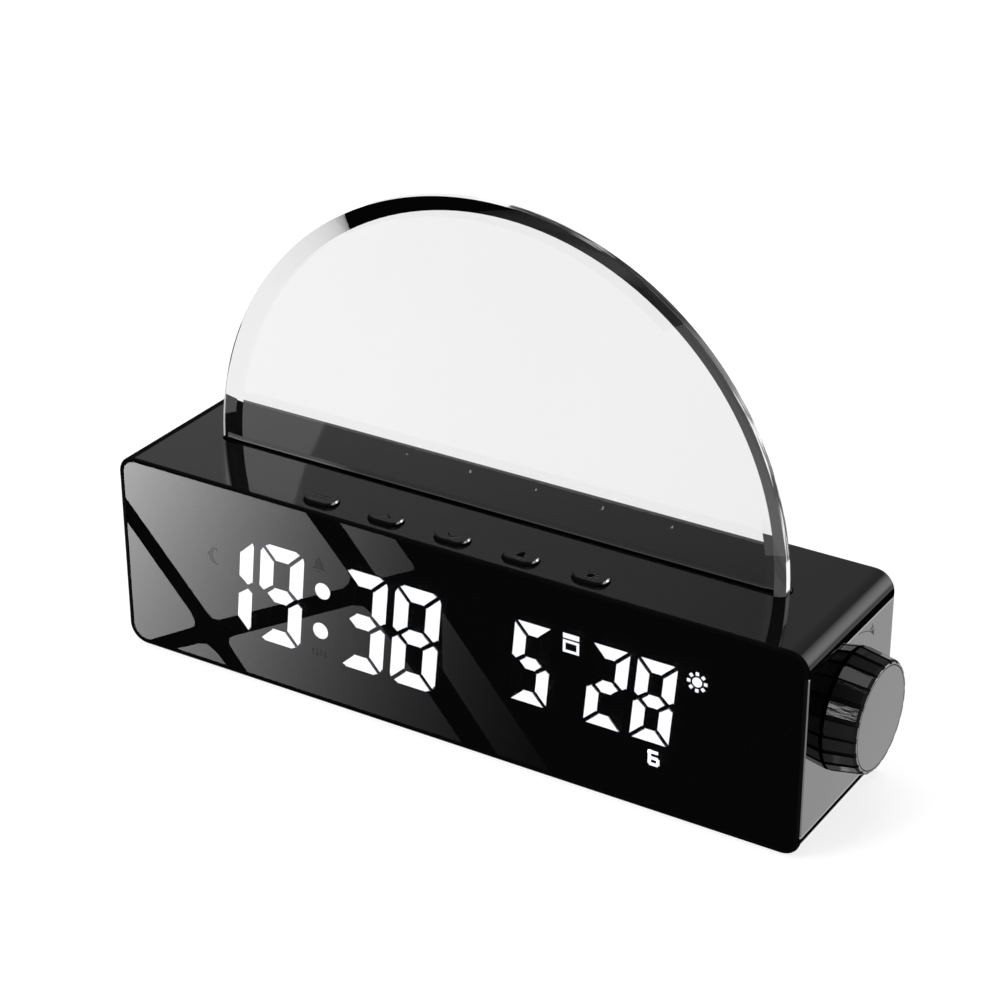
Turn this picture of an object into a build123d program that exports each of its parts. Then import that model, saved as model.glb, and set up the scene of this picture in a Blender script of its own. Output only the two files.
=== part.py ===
from build123d import *
import os
from math import cos, pi, radians, sin, tan

# Sunrise alarm clock: a low block with a dark display window, a half-round clear light guide
# standing in a slot along its top, five push buttons on top and a fluted knob on its right end.
# Millimetres. +Z is up, -Y is the front, +X is the user's right.
# The origin is on the table, under the middle of the body.

# ---------------------------------------------------------------- body
BODY_W = 190.0          # over the two end panels
BODY_H = 52.8           # without the feet
BODY_D = 44.3           # front edge to back edge
CORNER_R = 5.0          # the four long corners
EDGE_BREAK = 0.3        # chamfer round the front and the back
WALL = 2.0              # top and bottom wall
END_WALL = 1.6          # end wall behind each end panel
RIM_W = 1.2             # edge left showing round the window and round the rear cover
MAT_PROUD = 0.6         # how far the non-slip mat lifts the body

HALF_W = BODY_W / 2
BASE_Z = MAT_PROUD
TOP_Z = BASE_Z + BODY_H
MID_Z = BASE_Z + BODY_H / 2
FRONT_Y = -BODY_D / 2
BACK_Y = BODY_D / 2
INNER_X = HALF_W - RIM_W - END_WALL
INNER_BOTTOM = BASE_Z + WALL
INNER_TOP = TOP_Z - WALL
INNER_R = CORNER_R - WALL

# ---------------------------------------------------------------- window, end panels, rear cover
WINDOW_T = 2.0
WINDOW_INSET = 0.15     # window face below the rim
FIT_GAP = 0.08          # round pieces that drop into a rebate
PANEL_T = RIM_W         # the end panels' edges are the rim at the two ends
PANEL_LOW = 5.2         # lower seam above the bottom face
PANEL_HIGH = 5.8        # upper seam below the top face
SEAM = 0.2
COVER_T = 2.0

WINDOW_BACK = FRONT_Y + WINDOW_INSET + WINDOW_T
COVER_INNER = BACK_Y - COVER_T

# ---------------------------------------------------------------- light guide
GUIDE_R = 78.4
GUIDE_T = 5.2
GUIDE_BEVEL_W = 4.6     # bevels along the rim of both faces, measured across the face
GUIDE_FRONT_BEVEL = 1.1     # depth of the front bevel
GUIDE_BACK_BEVEL = 2.3      # depth of the back bevel
GUIDE_BEFORE_MID = 1.75     # front face before the body's middle
GUIDE_TANG = 9.0        # straight part below the top face
SLOT_CLEAR = 0.7        # round the guide in the top wall

GUIDE_FRONT = -GUIDE_BEFORE_MID
GUIDE_BACK = GUIDE_FRONT + GUIDE_T
GUIDE_Y = (GUIDE_FRONT + GUIDE_BACK) / 2

# ---------------------------------------------------------------- light guide holder and its light strip
HOLDER_WALL = 2.3
HOLDER_GRIP = 0.15      # each side of the guide
HOLDER_FLOOR = 1.6
HOLDER_TOP_GAP = 0.1    # under the top wall
HOLDER_END = 2.2        # past each end of the guide
TAB_W = 6.4
TAB_D = 6.0
STRIP_BOARD_W = 6.0
STRIP_BOARD_T = 1.2
STRIP_CHANNEL_W = 3.0   # narrower than the guide, so the guide stands on its edges
STRIP_CHANNEL_H = 2.1
STRIP_LED = (3.0, 2.2, 1.3)
STRIP_LED_PITCH = 7.4
TAB_SCREW_R = 1.1
TAB_POST_W = 5.2

TANG_BOTTOM = TOP_Z - GUIDE_TANG
STRIP_FLOOR = TANG_BOTTOM - STRIP_CHANNEL_H - STRIP_BOARD_T - FIT_GAP
HOLDER_BOTTOM = STRIP_FLOOR - HOLDER_FLOOR
HOLDER_HALF_L = GUIDE_R + HOLDER_END
HOLDER_FRONT = GUIDE_FRONT - HOLDER_GRIP - HOLDER_WALL
HOLDER_BACK = GUIDE_BACK + HOLDER_GRIP + HOLDER_WALL
TAB_SCREW_X = HOLDER_HALF_L - TAB_W / 2
TAB_SCREW_Y = HOLDER_BACK + TAB_D / 2

# ---------------------------------------------------------------- display
DIGIT_SLANT = 5.2       # degrees
TIME_H = 27.6
TIME_W = 12.9
TIME_BAR = 4.0
TIME_ROUND = 2.2        # outer corners of a digit
TIME_RISE = -1.1        # digits' middle above the body's middle
TIME_CENTRES = (-62.75, -47.75, -23.5, -8.45)
COLON_X = -35.55
COLON_R = 2.2
COLON_RISES = (-7.2, 4.1)
DATE_H = 21.7
DATE_W = 10.2
DATE_BAR = 3.25
DATE_ROUND = 0.6
DATE_RISE = 1.85
DATE_CENTRES = (11.4, 23.6, 43.9, 56.1)
BAR_GAP = 0.55          # between neighbouring bars
REFLECTOR_HALF_L = 74.0
REFLECTOR_LIFT = 4.0    # above the bottom wall
REFLECTOR_D = 7.0
WINDOW_TO_REFLECTOR = 0.1
BAR_DEPTH = 2.0         # light-spreading bars at the front of their wells
DISPLAY_BOARD_T = 1.2
DISPLAY_BOARD_CLEAR = 0.3   # off each end wall
DISPLAY_LED = (1.6, 0.8)
DISPLAY_POST_W = 5.2

SEGMENTS = {"1": "bc", "2": "abged", "3": "abgcd", "5": "afgcd", "8": "abcdefg", "9": "abcdfg"}
TIME_DIGITS = "1938"
DATE_DIGITS = " 528"

REFLECTOR_FRONT = WINDOW_BACK + WINDOW_TO_REFLECTOR
REFLECTOR_BACK = REFLECTOR_FRONT + REFLECTOR_D
DISPLAY_BOARD_BACK = REFLECTOR_BACK + DISPLAY_BOARD_T
DISPLAY_BOARD_HALF_L = INNER_X - DISPLAY_BOARD_CLEAR
REFLECTOR_BOTTOM = INNER_BOTTOM + REFLECTOR_LIFT

# ---------------------------------------------------------------- buttons
BUTTON_NAMES = ("mode_button", "up_button", "down_button", "alarm_button", "light_button")
BUTTON_PITCH = 18.6
BUTTON_FROM_FRONT = 5.1
BUTTON_W = 9.0
BUTTON_D = 5.2
BUTTON_PROUD = 1.0
BUTTON_BREAK = 0.35     # chamfer round the cap's top
BUTTON_CLEAR = 0.3
BUTTON_TRAVEL = 0.6
LIP_OVER = 1.0          # lip past each end of the cap, under the top wall
LIP_T = 0.9
LIP_GAP = 0.1
STEM_W = 2.4            # square stem
SWITCH_W = 4.5
SWITCH_H = 3.4
SWITCH_WELL = 1.7       # depth of the well the stem dips into
STEM_DIP = 0.7          # stem in the well at rest
STEM_L = 2.5            # below the lip
BUTTON_BOARD_T = 1.2
BUTTON_BOARD_MARGIN = 6.0

BUTTON_Y = FRONT_Y + BUTTON_FROM_FRONT
BUTTON_XS = [BUTTON_PITCH * (i - (len(BUTTON_NAMES) - 1) / 2) for i in range(len(BUTTON_NAMES))]
LIP_BOTTOM = INNER_TOP - LIP_GAP - LIP_T
SWITCH_TOP = LIP_BOTTOM - STEM_L + STEM_DIP
BUTTON_BOARD_TOP = SWITCH_TOP - SWITCH_H
REFLECTOR_TOP = BUTTON_BOARD_TOP - BUTTON_BOARD_T
DISPLAY_SCREW_Z = (REFLECTOR_BOTTOM + REFLECTOR_TOP) / 2

# ---------------------------------------------------------------- knob and rotary encoder
KNOB_Y = 0.0
KNOB_RISE = 1.8         # axis above the body's middle
KNOB_GAP = 0.5          # knob off the end panel
KNOB_L = 7.5
KNOB_ROOT_R = 14.7
KNOB_FRONT_R = 13.5
KNOB_FACE_R = 12.95
KNOB_FACE_CHAMFER = 0.6
KNOB_RING_R = 12.4      # fine ring groove round the face
KNOB_RING_W = 0.25
FLUTES = 21
FLUTE_W = 1.3
FLUTE_DEPTH = 0.65
FLUTE_PHASE = 20.2      # one groove this far above the front-pointing radius
KNOB_FACE_T = 1.5
SHAFT_R = 3.0
SHAFT_FLAT = 1.5        # D-flat depth
SHAFT_RUN = 0.06        # running clearance in the bushing
BUSHING_R = 3.5
BUSHING_PAST_NUT = 0.6
ENCODER_D = 12.4
ENCODER_H = 13.2
ENCODER_L = 6.5
SHAFT_IN_ENCODER = 3.5
SHAFT_END_CLEAR = 0.3
WASHER_T = 0.5
WASHER_R = 5.6
NUT_T = 2.0
NUT_FLATS = 10.0
NUT_CLEAR = 1.3         # inside the knob, round the nut
HUB_GAP = 0.4           # between the bushing's end and the knob's hub

KNOB_Z = MID_Z + KNOB_RISE
KNOB_ROOT_X = HALF_W + KNOB_GAP
KNOB_FACE_X = KNOB_ROOT_X + KNOB_L
NUT_END_X = HALF_W + WASHER_T + NUT_T
BUSHING_END_X = NUT_END_X + BUSHING_PAST_NUT
SHAFT_END_X = KNOB_FACE_X - KNOB_FACE_T

# ---------------------------------------------------------------- rear: board, socket, speaker, battery
MAIN_BOARD_X = (-30.0, 78.0)
MAIN_BOARD_H = 35.0
MAIN_BOARD_T = 1.6
STANDOFF_L = 5.6
STANDOFF_W = 5.2
STANDOFF_INSET = 3.6
SOCKET_X = 24.0
SOCKET_RISE = -12.4     # above the body's middle
SOCKET_W = 8.9
SOCKET_H = 3.3
SOCKET_WALL = 0.35
SOCKET_CLEAR = 0.4
SOCKET_TONGUE = (6.6, 0.7)
SPEAKER_X = -60.0
SPEAKER_R = 18.0
SPEAKER_LIP_T = 1.2
SPEAKER_BASKET_D = 5.5
SPEAKER_LIP_W = 1.6     # flange past the basket's cup
CONE_T = 0.6
CONE_DEPTH = 1.8
CONE_CENTRE_R = 5.0
SPEAKER_MAGNET_R = 9.5
SPEAKER_MAGNET_T = 4.0
SPEAKER_RING_W = 1.4
SPEAKER_RING_H = 2.2
GRILLE_R = 15.0
GRILLE_SLOTS = 7
GRILLE_SLOT_W = 1.7
CELL_X = 52.0
CELL_R = 10.0
CELL_T = 3.2
CELL_HOLDER_WALL = 1.2
CHIP = (10.0, 1.4)
CHIP_XS = (-12.0, 6.0, 30.0)

SPEAKER_BASKET_R = SPEAKER_R - SPEAKER_LIP_W
MAIN_BOARD_BACK = COVER_INNER - STANDOFF_L
MAIN_BOARD_FRONT = MAIN_BOARD_BACK - MAIN_BOARD_T
MAIN_BOARD_ZS = (MID_Z - MAIN_BOARD_H / 2, MID_Z + MAIN_BOARD_H / 2)
SOCKET_Z = MID_Z + SOCKET_RISE

# ---------------------------------------------------------------- screws and non-slip mat
COVER_POST_W = 6.0
COVER_POST_L = 10.0
COVER_POST_IN = 2.2     # post's middle from the inner walls
COVER_SCREW_R = 1.2
COVER_SCREW_L = 9.0
SCREW_HEAD_R = 2.3
SCREW_HEAD_T = 1.2
SMALL_SCREW_R = 1.0
SMALL_HEAD_R = 1.9
SMALL_HEAD_T = 1.0
SCREW_BITE = 5.0
SLOT_IN_HEAD = 0.5
MAT_SEAT = 0.6          # depth of the mat's recess in the bottom face
MAT_L = 160.0
MAT_D = 30.0
MAT_ROUND = 5.0

COVER_SCREW_X = INNER_X - COVER_POST_IN
COVER_SCREW_ZS = (INNER_BOTTOM + COVER_POST_IN, INNER_TOP - COVER_POST_IN)
DISPLAY_SCREW_X = INNER_X - DISPLAY_POST_W / 2 + FIT_GAP


# ---------------------------------------------------------------- helpers
def block(x0, x1, y0, y1, z0, z1):
    """A box between two corners."""
    box = Box(x1 - x0, y1 - y0, z1 - z0)
    return Pos((x0 + x1) / 2, (y0 + y1) / 2, (z0 + z1) / 2) * box


def rod_y(radius, y0, y1, x, z):
    """A cylinder along Y."""
    return Pos(x, (y0 + y1) / 2, z) * Rot(90, 0, 0) * Cylinder(radius, y1 - y0)


def rod_x(radius, x0, x1, y=KNOB_Y, z=KNOB_Z):
    """A cylinder along X."""
    return Pos((x0 + x1) / 2, y, z) * Rot(0, 90, 0) * Cylinder(radius, x1 - x0)


def rod_z(radius, z0, z1, x, y):
    """A cylinder along Z."""
    return Pos(x, y, (z0 + z1) / 2) * Cylinder(radius, z1 - z0)


def post_y(width, y0, y1, x, z):
    """A square post along Y."""
    half = width / 2
    return block(x - half, x + half, y0, y1, z - half, z + half)


def post_z(width, z0, z1, x, y):
    """A square post along Z."""
    half = width / 2
    return block(x - half, x + half, y - half, y + half, z0, z1)


def front_plane(y):
    """Sketch plane facing the front: sketch X is +X, sketch Y is +Z, extrusion goes to +Y from y."""
    return Plane(origin=(0, y, 0), x_dir=(1, 0, 0), z_dir=(0, -1, 0))


def slab(sketch, y0, y1):
    """The sketch, drawn in X and Z as seen from the front, as a plate from y0 back to y1."""
    return extrude(front_plane(y1) * sketch, amount=y1 - y0)


def pilot_y(radius, y0, y1, x, z):
    """Eight-sided pilot hole along Y, with its flats against a screw's shank."""
    return slab(Pos(x, z) * RegularPolygon(radius, 8, major_radius=False), y0, y1)


def pilot_z(radius, z0, z1, x, y):
    """Eight-sided pilot hole along Z, with its flats against a screw's shank."""
    outline = RegularPolygon(radius, 8, major_radius=False)
    return extrude(Plane(origin=(x, y, z0)) * outline, amount=z1 - z0)


def body_outline(inset):
    """The body's rounded outline seen from the front, drawn in by inset."""
    outline = RectangleRounded(BODY_W - 2 * inset, BODY_H - 2 * inset, CORNER_R - inset)
    return Pos(0, MID_Z) * outline


def pill(width, depth, z0, z1, x, y):
    """An upright block with round ends."""
    outline = SlotOverall(width, depth)
    return extrude(Plane(origin=(x, y, z0)) * outline, amount=z1 - z0)


def polygon(points):
    """A flat face through the points."""
    return make_face(Polyline(*points, close=True))


# ---------------------------------------------------------------- housing
def make_housing():
    """Moulded shell: top, bottom, long corners and end walls, open at the front and the back."""
    shell = slab(body_outline(0), FRONT_Y, BACK_Y)
    rims = shell.faces().filter_by(Axis.Y).edges()
    shell = chamfer(rims, EDGE_BREAK)
    cavity = Pos(0, MID_Z) * RectangleRounded(2 * INNER_X, INNER_TOP - INNER_BOTTOM, INNER_R)
    shell -= slab(cavity, FRONT_Y, BACK_Y)
    shell -= slab(body_outline(RIM_W), FRONT_Y, WINDOW_BACK)
    shell -= slab(body_outline(RIM_W), COVER_INNER, BACK_Y)
    for side in (-1, 1):
        shell -= end_recess(side)
    shell -= pill(2 * (GUIDE_R + SLOT_CLEAR), GUIDE_T + 2 * SLOT_CLEAR, INNER_TOP, TOP_Z, 0, GUIDE_Y)
    for x in BUTTON_XS:
        hole = pill(BUTTON_W + 2 * BUTTON_CLEAR, BUTTON_D + 2 * BUTTON_CLEAR, INNER_TOP, TOP_Z, x, BUTTON_Y)
        shell -= hole
    shell += housing_posts()
    shell -= housing_pilot_holes()
    shell -= rod_x(BUSHING_R + FIT_GAP, INNER_X, HALF_W)
    shell -= mat_solid(FIT_GAP, BASE_Z, BASE_Z + MAT_SEAT)
    return shell


def end_recess(side):
    """The space an end panel drops into."""
    outer = side * HALF_W
    inner = side * (HALF_W - PANEL_T)
    return block(min(inner, outer), max(inner, outer), FRONT_Y, BACK_Y,
                 BASE_Z + PANEL_LOW, TOP_Z - PANEL_HIGH)


def housing_posts():
    """Screw posts for the rear cover, the display board and the light guide's holder."""
    posts = []
    for side in (-1, 1):
        for z in COVER_SCREW_ZS:
            posts.append(post_y(COVER_POST_W, COVER_INNER - COVER_POST_L, COVER_INNER,
                                side * COVER_SCREW_X, z))
        posts.append(post_y(DISPLAY_POST_W, WINDOW_BACK, REFLECTOR_BACK,
                            side * DISPLAY_SCREW_X, DISPLAY_SCREW_Z))
        posts.append(post_z(TAB_POST_W, STRIP_FLOOR, INNER_TOP, side * TAB_SCREW_X, TAB_SCREW_Y))
    return posts


def housing_pilot_holes():
    """Blind holes in the posts, as deep as the screws need."""
    holes = []
    for side in (-1, 1):
        for z in COVER_SCREW_ZS:
            holes.append(pilot_y(COVER_SCREW_R, COVER_INNER - COVER_SCREW_L, COVER_INNER,
                                 side * COVER_SCREW_X, z))
        holes.append(pilot_y(SMALL_SCREW_R, REFLECTOR_BACK - SCREW_BITE, REFLECTOR_BACK,
                             side * DISPLAY_SCREW_X, DISPLAY_SCREW_Z))
        holes.append(pilot_z(TAB_SCREW_R, STRIP_FLOOR, STRIP_FLOOR + SCREW_BITE,
                             side * TAB_SCREW_X, TAB_SCREW_Y))
    return holes


def mat_solid(grow, z0, z1):
    outline = RectangleRounded(MAT_L + 2 * grow, MAT_D + 2 * grow, MAT_ROUND + grow)
    return extrude(Plane(origin=(0, 0, z0)) * outline, amount=z1 - z0)


def make_window():
    """Dark window that fills the front inside the rim."""
    return slab(body_outline(RIM_W + FIT_GAP), FRONT_Y + WINDOW_INSET, WINDOW_BACK)


def make_end_panel(side):
    """Flat cover of one end, from the front edge to the back edge."""
    outer = side * HALF_W
    inner = side * (HALF_W - PANEL_T)
    panel = block(min(inner, outer), max(inner, outer), FRONT_Y, BACK_Y,
                  BASE_Z + PANEL_LOW + SEAM, TOP_Z - PANEL_HIGH - SEAM)
    outer_face = panel.faces().sort_by(Axis.X)[-1 if side > 0 else 0]
    panel = chamfer(outer_face.edges().filter_by(Axis.Z), EDGE_BREAK)
    if side > 0:
        panel -= rod_x(BUSHING_R + FIT_GAP, 0, HALF_W)
    return panel


def make_rear_cover():
    """Rear cover with the speaker grille, the socket's opening, standoffs and screw seats."""
    cover = slab(body_outline(RIM_W + FIT_GAP), COVER_INNER, BACK_Y)
    for x, z in standoff_places():
        cover += post_y(STANDOFF_W, MAIN_BOARD_BACK, COVER_INNER, x, z)
    ring = rod_y(SPEAKER_R + FIT_GAP + SPEAKER_RING_W, COVER_INNER - SPEAKER_RING_H, COVER_INNER,
                 SPEAKER_X, MID_Z)
    ring -= rod_y(SPEAKER_R + FIT_GAP, COVER_INNER - SPEAKER_RING_H, COVER_INNER, SPEAKER_X, MID_Z)
    cover += ring
    cover -= grille_slots()
    cover -= slab(socket_outline(SOCKET_CLEAR), COVER_INNER, BACK_Y)
    for x, z in board_screw_places():
        cover -= pilot_y(SMALL_SCREW_R, MAIN_BOARD_BACK, MAIN_BOARD_BACK + SCREW_BITE, x, z)
    for side in (-1, 1):
        for z in COVER_SCREW_ZS:
            cover -= rod_y(COVER_SCREW_R + FIT_GAP, COVER_INNER, BACK_Y, side * COVER_SCREW_X, z)
            cover -= rod_y(SCREW_HEAD_R + FIT_GAP, BACK_Y - SCREW_HEAD_T, BACK_Y, side * COVER_SCREW_X, z)
    return cover


def grille_slots():
    """Level slots that together fill a circle in front of the speaker."""
    slots = []
    pitch = 2 * GRILLE_R / GRILLE_SLOTS
    for i in range(GRILLE_SLOTS):
        rise = pitch * (i - (GRILLE_SLOTS - 1) / 2)
        length = 2 * (GRILLE_R ** 2 - rise ** 2) ** 0.5
        outline = Pos(SPEAKER_X, MID_Z + rise) * Rectangle(length, GRILLE_SLOT_W)
        slots.append(slab(outline, COVER_INNER, BACK_Y))
    return slots


def standoff_places():
    left, right = MAIN_BOARD_X
    low, high = MAIN_BOARD_ZS
    return [(x, z) for x in (left + STANDOFF_INSET, right - STANDOFF_INSET)
            for z in (low + STANDOFF_INSET, high - STANDOFF_INSET)]


def board_screw_places():
    """The main board is screwed to two standoffs across a diagonal and rests on the other two."""
    places = standoff_places()
    return [places[0], places[-1]]


def make_base_mat():
    """Non-slip rubber mat, stuck in a shallow recess of the bottom face."""
    return mat_solid(0, 0, BASE_Z + MAT_SEAT)


# ---------------------------------------------------------------- light guide
def guide_section():
    """Half of the guide's section: distance from the middle against depth."""
    flat = GUIDE_R - GUIDE_BEVEL_W
    return [(0, GUIDE_FRONT), (flat, GUIDE_FRONT), (GUIDE_R, GUIDE_FRONT + GUIDE_FRONT_BEVEL),
            (GUIDE_R, GUIDE_BACK - GUIDE_BACK_BEVEL), (flat, GUIDE_BACK), (0, GUIDE_BACK)]


def make_light_guide():
    """Clear half disc with both faces bevelled along the rim, standing on a straight tang."""
    half = polygon([(r, y, TOP_Z) for r, y in guide_section()])
    axis = Axis((0, 0, TOP_Z), (0, 1, 0))
    disc = revolve(half, axis, -180)
    mirrored = polygon([(-r, y, TOP_Z) for r, y in guide_section()])
    tang = extrude(half + mirrored, amount=GUIDE_TANG, dir=(0, 0, -1))
    return disc + tang


def make_guide_holder():
    """Channel under the top wall: grips the guide and carries the light strip below it."""
    top = INNER_TOP - HOLDER_TOP_GAP
    length = HOLDER_HALF_L
    holder = block(-length, length, HOLDER_FRONT, HOLDER_BACK, HOLDER_BOTTOM, top)
    holder -= block(-length, length, GUIDE_FRONT - HOLDER_GRIP, GUIDE_BACK + HOLDER_GRIP, TANG_BOTTOM, top)
    channel = STRIP_CHANNEL_W / 2
    holder -= block(-length, length, GUIDE_Y - channel, GUIDE_Y + channel, STRIP_FLOOR, TANG_BOTTOM)
    pocket = STRIP_BOARD_W / 2 + FIT_GAP
    holder -= block(-length, length, GUIDE_Y - pocket, GUIDE_Y + pocket,
                    STRIP_FLOOR, STRIP_FLOOR + STRIP_BOARD_T + FIT_GAP)
    for side in (-1, 1):
        x = side * TAB_SCREW_X
        holder += block(x - TAB_W / 2, x + TAB_W / 2, HOLDER_BACK, HOLDER_BACK + TAB_D,
                        HOLDER_BOTTOM, STRIP_FLOOR)
        holder -= rod_z(TAB_SCREW_R + FIT_GAP, HOLDER_BOTTOM, STRIP_FLOOR, x, TAB_SCREW_Y)
    return holder


def make_strip_board():
    half_w = STRIP_BOARD_W / 2
    return block(-GUIDE_R, GUIDE_R, GUIDE_Y - half_w, GUIDE_Y + half_w,
                 STRIP_FLOOR, STRIP_FLOOR + STRIP_BOARD_T)


def make_strip_leds():
    """Row of warm and white emitters shining up into the guide."""
    length, depth, height = STRIP_LED
    z0 = STRIP_FLOOR + STRIP_BOARD_T
    count = int((2 * GUIDE_R - length) // STRIP_LED_PITCH) + 1
    leds = []
    for i in range(count):
        x = STRIP_LED_PITCH * (i - (count - 1) / 2)
        leds.append(block(x - length / 2, x + length / 2, GUIDE_Y - depth / 2, GUIDE_Y + depth / 2,
                          z0, z0 + height))
    return Compound(children=leds)


# ---------------------------------------------------------------- display
def segment_outlines(height, width, bar, corner):
    """The seven mitred bars of one upright digit, centred on x = 0 with its foot at 0."""
    outer = width / 2
    inner = outer - bar
    mid = height / 2
    mitre = BAR_GAP / 2 ** 0.5
    across = corner * (1 - cos(pi / 4)) * (1 - mitre / corner)
    along = mitre + across
    low = [(-outer + along, across), (-outer + corner, 0), (outer - corner, 0),
           (outer - along, across), (inner - mitre, bar), (-inner + mitre, bar)]
    lower_right = [(outer - across, along), (outer, corner), (outer, mid - bar / 3),
                   (outer - bar / 3, mid - BAR_GAP / 2), (inner, mid - bar / 2 - mitre), (inner, bar + mitre)]
    tip = outer - bar / 2 - mitre / 2
    middle = [(-tip, mid), (-inner + mitre, mid + bar / 2), (inner - mitre, mid + bar / 2),
              (tip, mid), (inner - mitre, mid - bar / 2), (-inner + mitre, mid - bar / 2)]
    upper_right = [(x, height - z) for x, z in lower_right]
    return {"a": [(x, height - z) for x, z in low], "b": upper_right, "c": lower_right, "d": low,
            "e": [(-x, z) for x, z in lower_right], "f": [(-x, z) for x, z in upper_right], "g": middle}


def slanted(points, height, centre, rise):
    """Lean the points to the right about the digit's middle, and put them in place."""
    lean = tan(radians(DIGIT_SLANT))
    middle = height / 2
    return [(centre + x + (z - middle) * lean, MID_Z + rise + z - middle) for x, z in points]


def digit_bars(height, width, bar, corner, rise, centres, digits):
    """Outlines of the lit and of the unlit bars of one group of digits."""
    lit = []
    unlit = []
    for centre, digit in zip(centres, digits):
        for name, points in segment_outlines(height, width, bar, corner).items():
            outline = slanted(points, height, centre, rise)
            if digit == " " and name not in SEGMENTS["1"]:
                continue
            if name in SEGMENTS.get(digit, ""):
                lit.append(outline)
            else:
                unlit.append(outline)
    return lit, unlit


def display_bars():
    time_lit, time_unlit = digit_bars(TIME_H, TIME_W, TIME_BAR, TIME_ROUND, TIME_RISE,
                                      TIME_CENTRES, TIME_DIGITS)
    date_lit, date_unlit = digit_bars(DATE_H, DATE_W, DATE_BAR, DATE_ROUND, DATE_RISE,
                                      DATE_CENTRES, DATE_DIGITS)
    return time_lit, date_lit, time_unlit + date_unlit


def colon_places():
    lean = tan(radians(DIGIT_SLANT))
    return [(COLON_X + (rise - TIME_RISE) * lean, MID_Z + rise) for rise in COLON_RISES]


def bar_solids(outlines, y0, y1):
    return [slab(polygon(points), y0, y1) for points in outlines]


def make_bars(outlines, dots):
    """Light-spreading bars that fill the front of their wells."""
    solids = bar_solids(outlines, REFLECTOR_FRONT, REFLECTOR_FRONT + BAR_DEPTH)
    for x, z in dots:
        solids.append(rod_y(COLON_R, REFLECTOR_FRONT, REFLECTOR_FRONT + BAR_DEPTH, x, z))
    return Compound(children=solids)


def make_reflector():
    """Black block with one light well behind every bar and dot."""
    reflector = block(-REFLECTOR_HALF_L, REFLECTOR_HALF_L, REFLECTOR_FRONT, REFLECTOR_BACK,
                      REFLECTOR_BOTTOM, REFLECTOR_TOP)
    time_lit, date_lit, unlit = display_bars()
    wells = bar_solids(time_lit + date_lit + unlit, REFLECTOR_FRONT, REFLECTOR_BACK)
    for x, z in colon_places():
        wells.append(rod_y(COLON_R, REFLECTOR_FRONT, REFLECTOR_BACK, x, z))
    return reflector - wells


def make_display_board():
    """Board behind the reflector, screwed to the end walls' bosses."""
    half = DISPLAY_BOARD_HALF_L
    board = block(-half, half, REFLECTOR_BACK, DISPLAY_BOARD_BACK, REFLECTOR_BOTTOM, REFLECTOR_TOP)
    for side in (-1, 1):
        board -= rod_y(SMALL_SCREW_R + FIT_GAP, REFLECTOR_BACK, DISPLAY_BOARD_BACK,
                       side * DISPLAY_SCREW_X, DISPLAY_SCREW_Z)
    return board


def make_display_leds():
    """One emitter on the display board in the middle of every well."""
    width, depth = DISPLAY_LED
    time_lit, date_lit, unlit = display_bars()
    places = []
    for points in time_lit + date_lit + unlit:
        places.append((sum(p[0] for p in points) / len(points), sum(p[1] for p in points) / len(points)))
    leds = []
    for x, z in places + colon_places():
        leds.append(block(x - width / 2, x + width / 2, REFLECTOR_BACK - depth, REFLECTOR_BACK,
                          z - width / 2, z + width / 2))
    return Compound(children=leds)


# ---------------------------------------------------------------- buttons
def make_button(x):
    """Pill-shaped cap with a stem to its switch, kept in by a lip past each end under the top wall."""
    cap = pill(BUTTON_W, BUTTON_D, INNER_TOP - LIP_GAP, TOP_Z + BUTTON_PROUD, x, BUTTON_Y)
    cap = chamfer(cap.faces().sort_by(Axis.Z)[-1].edges(), BUTTON_BREAK)
    lip_half_w = BUTTON_W / 2 + LIP_OVER
    lip = block(x - lip_half_w, x + lip_half_w, BUTTON_Y - BUTTON_D / 2, BUTTON_Y + BUTTON_D / 2,
                LIP_BOTTOM, INNER_TOP - LIP_GAP)
    stem = post_z(STEM_W, LIP_BOTTOM - STEM_L, LIP_BOTTOM, x, BUTTON_Y)
    return cap + lip + stem


def make_button_board():
    half_l = BUTTON_XS[-1] + BUTTON_BOARD_MARGIN
    return block(-half_l, half_l, REFLECTOR_FRONT, DISPLAY_BOARD_BACK, REFLECTOR_TOP, BUTTON_BOARD_TOP)


def make_switches():
    """Five small switches, each open on top for its button's stem."""
    half = SWITCH_W / 2
    switches = []
    for x in BUTTON_XS:
        switch = block(x - half, x + half, BUTTON_Y - half, BUTTON_Y + half, BUTTON_BOARD_TOP, SWITCH_TOP)
        switch -= post_z(STEM_W + 2 * BUTTON_CLEAR, SWITCH_TOP - SWITCH_WELL, SWITCH_TOP, x, BUTTON_Y)
        switches.append(switch)
    return Compound(children=switches)


# ---------------------------------------------------------------- knob and encoder
def knob_land_angles():
    """Angles of the flat lands' middles about the knob's axis, from +Z towards -Y."""
    step = 360 / FLUTES
    return [90 - FLUTE_PHASE + step * (i + 0.5) for i in range(FLUTES)]


def make_knob():
    """Tapered fluted knob: flat lands with a narrow groove between neighbours."""
    taper_l = KNOB_L - KNOB_FACE_CHAMFER
    profile = [(0, 0), (KNOB_ROOT_R, 0), (KNOB_FRONT_R, taper_l), (KNOB_FACE_R, KNOB_L), (0, KNOB_L)]
    face = polygon([(KNOB_ROOT_X + x, KNOB_Y, KNOB_Z + r) for r, x in profile])
    axis = Axis((KNOB_ROOT_X, KNOB_Y, KNOB_Z), (1, 0, 0))
    knob = revolve(face, axis, 360)
    knob = knob & land_prism(taper_l)
    knob -= flute_grooves(taper_l)
    knob -= face_ring()
    hollow = NUT_FLATS / 2 / cos(pi / 6) + NUT_CLEAR
    knob -= rod_x(hollow, KNOB_ROOT_X, BUSHING_END_X + HUB_GAP)
    bore = rod_x(SHAFT_R, BUSHING_END_X, SHAFT_END_X)
    return knob - (bore - shaft_flat())


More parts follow.
